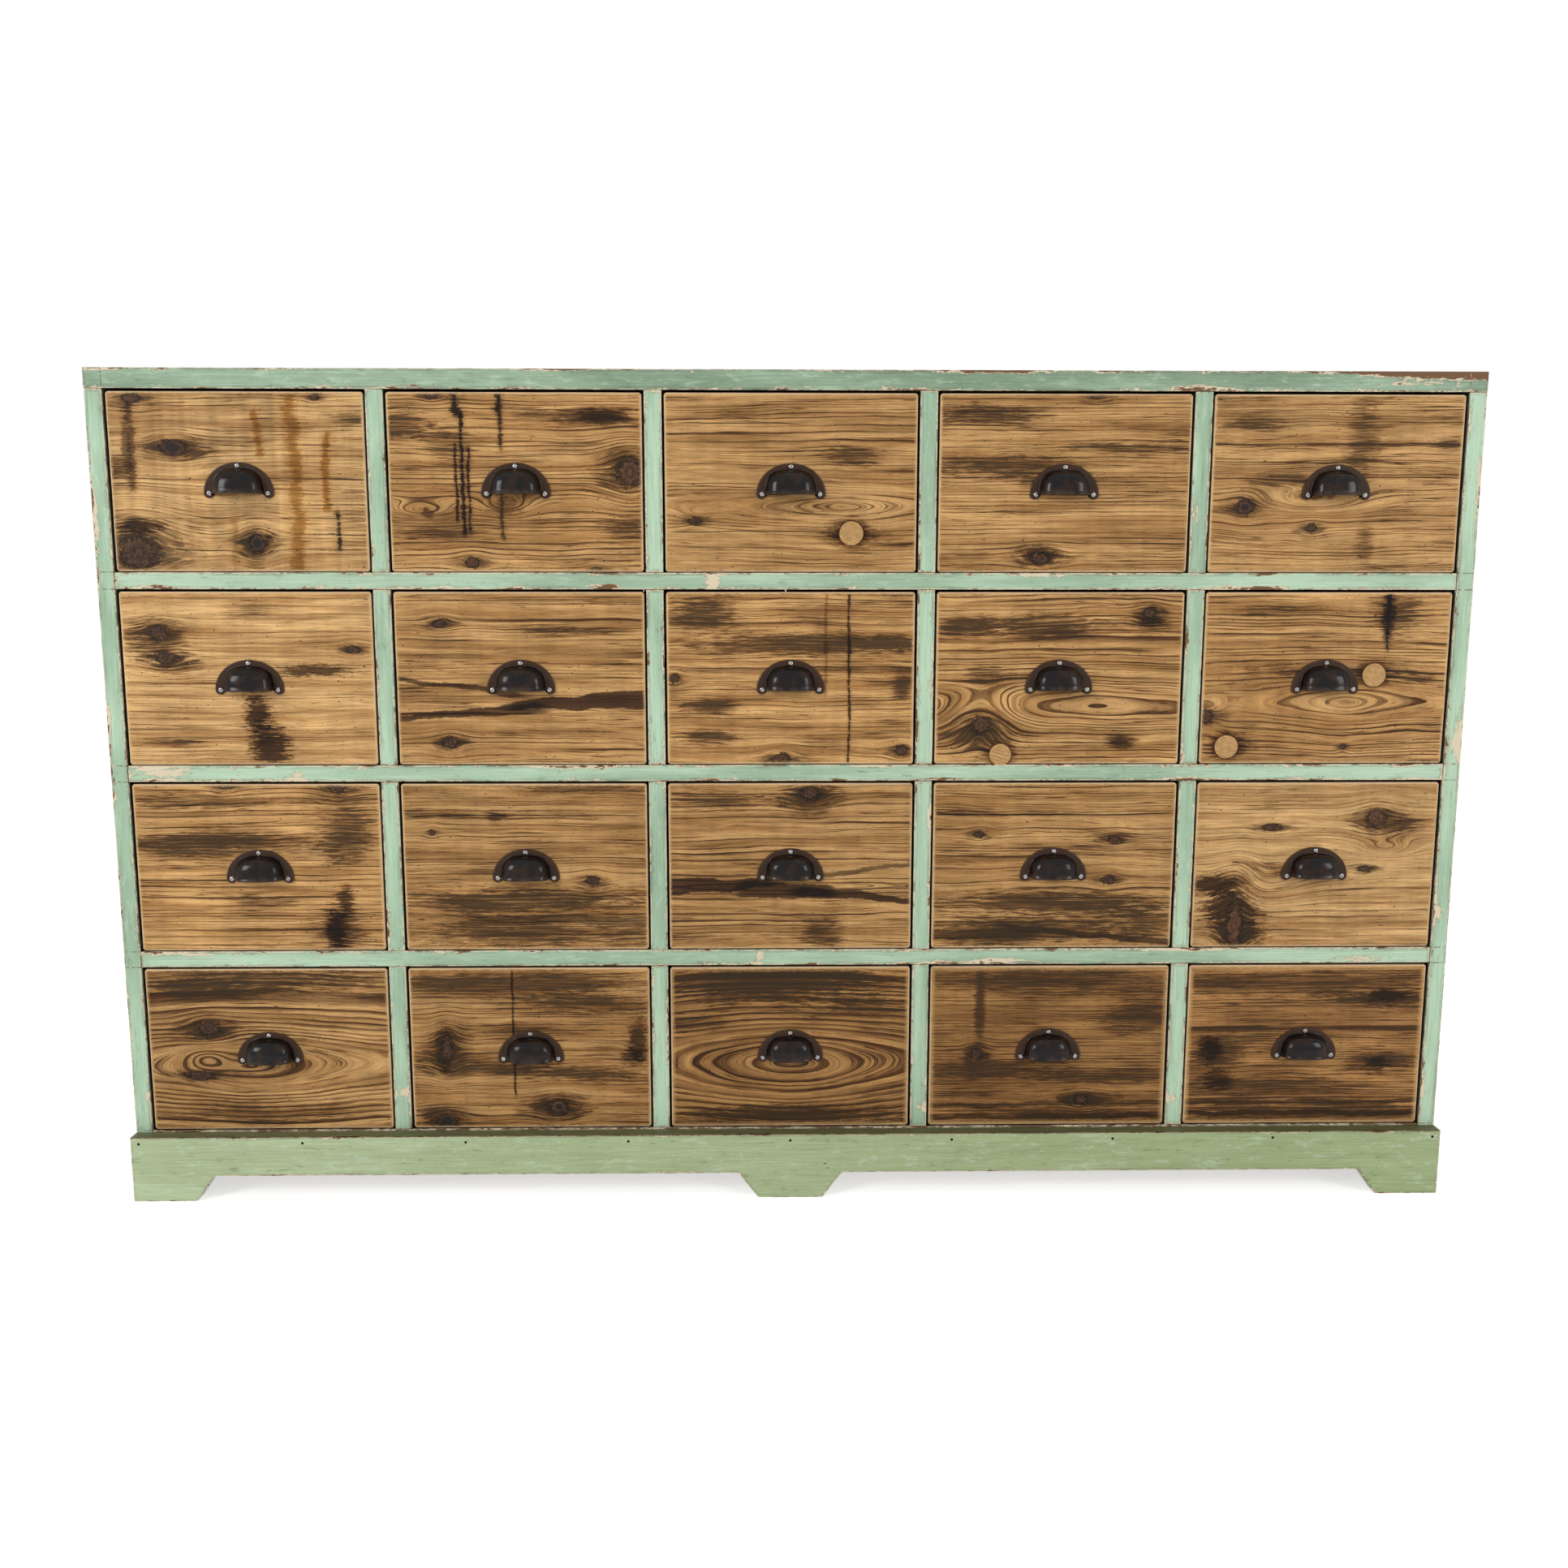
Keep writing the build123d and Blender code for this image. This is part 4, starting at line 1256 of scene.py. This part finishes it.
def dome_shell(bm, wear):
    """The hollow dome with its rolled lip, closed all round."""
    grid = []
    climbs = [math.pi / 2 * (1 - i / rise_steps) for i in range(rise_steps)]
    lip = [(-0.15, lip_h), (-lip_out, lip_h - 0.9), (-lip_out - 0.1, 1.2), (-lip_out + 0.2, 0.25),
           (0.5, -0.1), (1.5, 0.1), (dome_wall, 0.9)]
    for i in range(dome_steps + 1):
        turn = math.pi * i / dome_steps
        column = [dome_point(turn, climb, 0) for climb in climbs]
        column = [p for p in column if p.z > lip_h + 0.8]
        count = len(column)
        for inset, z in lip:
            point = dome_point(turn, 0, inset)
            point.z = z
            column.append(point)
        for climb in reversed(climbs):
            column.append(dome_point(turn, climb, dome_wall))
        grid.append([bm.verts.new(p * MM) for p in column])
        for j in range(count, count + 4):
            grid[-1][j][wear] = 1
    for a, b in zip(grid, grid[1:]):
        for j in range(len(a) - 1):
            bm.faces.new((a[j], a[j + 1], b[j + 1], b[j])).smooth = True
    for column in (grid[0], grid[-1]):
        n = len(column)
        for j in range(n // 2):
            k = n - 1 - j
            if k - 1 > j + 1:
                bm.faces.new((column[j], column[j + 1], column[k - 1], column[k]))
            elif k - 1 == j + 1:
                bm.faces.new((column[j], column[j + 1], column[k]))


def flange_outline():
    """The outer edge of the plate, from the inner side of one ear over the top to the other."""
    half = []
    for i in range(13):
        angle = math.radians(-165 + 150 * i / 12)
        half.append((ear_x + ear_r * math.cos(angle), ear_z + ear_r * math.sin(angle)))
    for i in range(1, rim_steps + 1):
        angle = math.radians(4 + 86 * i / rim_steps)
        half.append((flange_w / 2 * math.cos(angle), flange_top * math.sin(angle)))
    return half + [(-x, z) for x, z in reversed(half[:-1])]


def outward(points, i):
    """The unit vector square to a line of points, on its outer side."""
    a = points[max(i - 1, 0)]
    b = points[min(i + 1, len(points) - 1)]
    along = Vector((b[0] - a[0], b[1] - a[1]))
    along.normalize()
    return Vector((along.y, -along.x))


def flange_plate(bm, wear, plate):
    """The plate around the dome, with a rounded rim."""
    outline = flange_outline()
    stations = []
    n = len(outline) - 1
    for i, (ox, oz) in enumerate(outline):
        out = outward(outline, i)
        share = min(max((i - 10) / (n - 20), 0), 1)
        inner_x, inner_z = dome_foot(math.pi * share, -dome_wall / 2)
        rim = [(1.5, -flange_t), (0.55, -flange_t + 0.22), (0.1, -flange_t + 0.8), (0, 0)]
        loop = [(inner_x, 0, inner_z), (inner_x, -flange_t, inner_z)]
        for inset, y in rim:
            loop.append((ox - out.x * inset, y, oz - out.y * inset))
        verts = [bm.verts.new(Vector(p) * MM) for p in loop]
        verts[3][wear] = 0.8
        verts[4][wear] = 1
        for vert in verts:
            vert[plate] = 1
        stations.append(verts)
    skin(bm, stations, (3, 4))


def raised_line(bm, wear):
    """A bead along the foot of the dome."""
    loops = []
    path = [dome_foot(math.pi * i / bead_steps, bead_out) for i in range(bead_steps + 1)]
    for i, (x, z) in enumerate(path):
        out = outward(path, i)
        loop = []
        for k in range(bead_sides):
            angle = math.tau * k / bead_sides
            across = bead_r * 1.3 * math.cos(angle)
            y = -flange_t - bead_r * 0.9 * math.sin(angle)
            loop.append(bm.verts.new(Vector((x + out.x * across, y, z + out.y * across)) * MM))
        for vert in loop[1:4]:
            vert[wear] = 1
        loops.append(loop)
    skin(bm, loops)


def cup_mesh():
    bm = bmesh.new()
    wear = bm.verts.layers.float.new("wear")
    plate = bm.verts.layers.float.new("plate")
    dome_shell(bm, wear)
    flange_plate(bm, wear, plate)
    raised_line(bm, wear)
    bmesh.ops.remove_doubles(bm, verts=bm.verts, dist=2e-6)
    bmesh.ops.recalc_face_normals(bm, faces=bm.faces)
    mesh = bpy.data.meshes.new("cup")
    bm.to_mesh(mesh)
    bm.free()
    return mesh


def screw_mesh():
    """A domed head with a slot, its seat at the origin, facing -Y. Its rim has gone dark."""
    head = bmesh.new()
    dark = head.verts.layers.float.new("wear")
    profile = [(screw_r, 0), (screw_r, 0.35), (screw_r * 0.9, 0.85), (screw_r * 0.68, 1.35),
               (screw_r * 0.38, 1.68), (screw_r * 0.12, screw_h)]
    loops = []
    for radius, out in profile:
        loop = []
        for i in range(screw_sides):
            angle = math.tau * i / screw_sides
            at = Vector((radius * math.cos(angle), -out, radius * math.sin(angle)))
            loop.append(head.verts.new(at * MM))
            loop[-1][dark] = 1 if radius > screw_r * 0.8 else 0
        loops.append(loop)
    skin(head, loops)
    bmesh.ops.recalc_face_normals(head, faces=head.faces)
    slot = bmesh.new()
    outline = [(-screw_h - 1, -slot_w / 2), (-screw_h - 1, slot_w / 2),
               (-screw_h + slot_deep, slot_w / 2), (-screw_h + slot_deep, -slot_w / 2)]
    prism(slot, outline, -screw_r - 1, screw_r + 1)
    bmesh.ops.recalc_face_normals(slot, faces=slot.faces)
    return cut(head, slot)


def pull(label, cup, screw, bronze_made, steel_made, chance):
    """A pull and its three screws, where the CAD's are."""
    low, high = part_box("pull_" + label)
    origin = Vector(((low.x + high.x) / 2, high.y, high.z - flange_top * MM))
    bm = bmesh.new()
    bm.from_mesh(cup)
    bmesh.ops.translate(bm, verts=bm.verts, vec=origin)
    piece("pull_cast_" + label, bm, [bronze_made], "slider_" + label, ["pull_" + label])
    bm = bmesh.new()
    for x, z in ((-ear_screw[0], ear_screw[1]), ear_screw, top_screw):
        before = len(bm.verts)
        bm.from_mesh(screw)
        bm.verts.ensure_lookup_table()
        seat = Vector((x, -flange_t - 0.1, z)) * MM + origin
        turn = Matrix.Rotation(chance.uniform(0, math.pi), 4, "Y")
        bmesh.ops.transform(bm, verts=bm.verts[before:], matrix=Matrix.Translation(seat) @ turn)
    piece("screws_" + label, bm, [steel_made], "slider_" + label, ["pull_" + label])


# ---- The cabinet ----


def carcass():
    level = paint("mint_paint_level", MINT, MINT_GREY, 0, SHELF_PATCHES)
    upright = paint("mint_paint_upright", MINT, MINT_GREY, 2, UPRIGHT_PATCHES)
    top = paint("mint_paint_top", MINT_TOP_DIRT_AND_SHADE, MINT_TOP_GREY, 0, TOP_PATCHES, battered=0.02)
    low = paint("mint_paint_low", MINT_GREY, MINT_TOP_GREY, 0, battered=0.09)
    sage = paint("sage_paint", SAGE, SAGE_DARK, 0, lit_left=SAGE_LIT_LEFT, ledge=PLINTH_Z)
    for node, made in (("shelf_1", level), ("shelf_2", level), ("shelf_3", level),
                       ("top_board", top), ("bottom_board", low)):
        painted_board(node, made, 0, most_corners=12)
    for node in ("left_side", "right_side"):
        painted_board(node, upright, 2)
    for row in range(1, rows + 1):
        painted_board(f"dividers_row_{row}", upright, 2)
    painted_board("plinth_front", sage, 0, 200, plinth_wear_w)
    raw_along = plain_pine("raw_pine_level", 0)
    raw_board("back_boards", plain_pine("raw_pine_upright", 2))
    raw_board("centre_bearer", plain_pine("raw_pine_deep", 1))
    raw_board("plinth_blocks", raw_along)
    raw_board("drawer_stops", raw_along)
    iron = nail_iron("nail_iron")
    for node in ("side_nails", "top_nails", "back_nails", "plinth_nails"):
        data = frame["nodes"][node].data
        data.materials.clear()
        data.materials.append(iron)


def drawers():
    master = cut(front_block(), socket_cutters())
    side_made = plain_pine("drawer_side_pine", 1)
    panel_made = plain_pine("drawer_panel_pine", 0)
    plug_made = plug_pine("plug_pine")
    cup, screw = cup_mesh(), screw_mesh()
    bronze_made, steel_made = bronze("aged_bronze"), steel("screw_steel")
    chance = random.Random(7)
    for row in range(1, rows + 1):
        for column in range(1, columns + 1):
            label = f"r{row}c{column}"
            seed = row * 17 + column * 5.3
            low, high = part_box("drawer_" + label)
            plugs = PLUGS.get(label, ())
            made = front_pine("front_pine_" + label, low, high, LOOKS[label], seed, plugs)
            drawer_front(label, master, low, made, seed)
            drawer_box(label, side_made, panel_made)
            for number, (u, v, radius) in enumerate(plugs, start=1):
                wood_plug(label, number, u, v, radius, plug_made)
            pull(label, cup, screw, bronze_made, steel_made, chance)


# ---- Stage, lights and camera ----


def seen_rays(tree, *kinds):
    """1 for the kinds of rays that see the white background, and 0 for the light on the object."""
    path = tree.nodes.new("ShaderNodeLightPath")
    return sum(Wire(tree, path.outputs[kind]) for kind in kinds)


def floor():
    mesh = bpy.data.meshes.new("floor")
    corners = [(x * floor_reach, y * floor_reach, 0) for x, y in ((-1, -1), (1, -1), (1, 1), (-1, 1))]
    mesh.from_pydata(corners, [], [(0, 1, 2, 3)])
    made, tree, shader = material("floor_white")
    shader.inputs["Base Color"].default_value = (floor_grey, floor_grey, floor_grey, 1)
    shader.inputs["Roughness"].default_value = 0.9
    shader.inputs["Specular IOR Level"].default_value = 0.1
    shader.inputs["Emission Color"].default_value = (1, 1, 1, 1)
    seen = seen_rays(tree, "Is Camera Ray", "Is Glossy Ray")
    plug(tree, shader.inputs["Emission Strength"], seen * floor_glow)
    mesh.materials.append(made)
    link("floor", mesh)


def world():
    made = bpy.data.worlds.new("studio")
    bpy.context.scene.world = made
    made.use_nodes = True
    background = made.node_tree.nodes["Background"]
    background.inputs["Color"].default_value = (1, 1, 1, 1)
    seen = seen_rays(made.node_tree, "Is Camera Ray", "Is Transmission Ray", "Is Glossy Ray")
    plug(made.node_tree, background.inputs["Strength"], seen * (1 - ambient) + ambient)


def lamp(name, at, size, watts):
    data = bpy.data.lights.new(name, "AREA")
    data.shape = "RECTANGLE"
    data.size, data.size_y = size
    data.energy = watts
    obj = link(name, data)
    obj.location = at
    obj.rotation_euler = (Vector(LAMP_AIM) - Vector(at)).to_track_quat("-Z", "Y").to_euler()


def camera():
    data = bpy.data.cameras.new("camera")
    data.sensor_width = sensor_w
    data.lens = sensor_w * focal_px / photo_px
    data.clip_end = 200
    obj = link("camera", data)
    obj.location = Vector((camera_from_middle, FRONT_Y - camera_from_front, camera_h)) * MM
    turn = Matrix.Rotation(math.radians(-yaw_right), 4, "Z")
    tip = Matrix.Rotation(math.radians(90 - pitch_down), 4, "X")
    spin = Matrix.Rotation(math.radians(roll), 4, "Z")
    obj.rotation_euler = (turn @ tip @ spin).to_euler()
    bpy.context.scene.camera = obj


carcass()
drawers()
floor()
world()
lamp("key", *KEY_LAMP)
lamp("fill", *FILL_LAMP)
lamp("rear", *REAR_LAMP)
camera()
bpy.context.scene.view_settings.view_transform = "Standard"
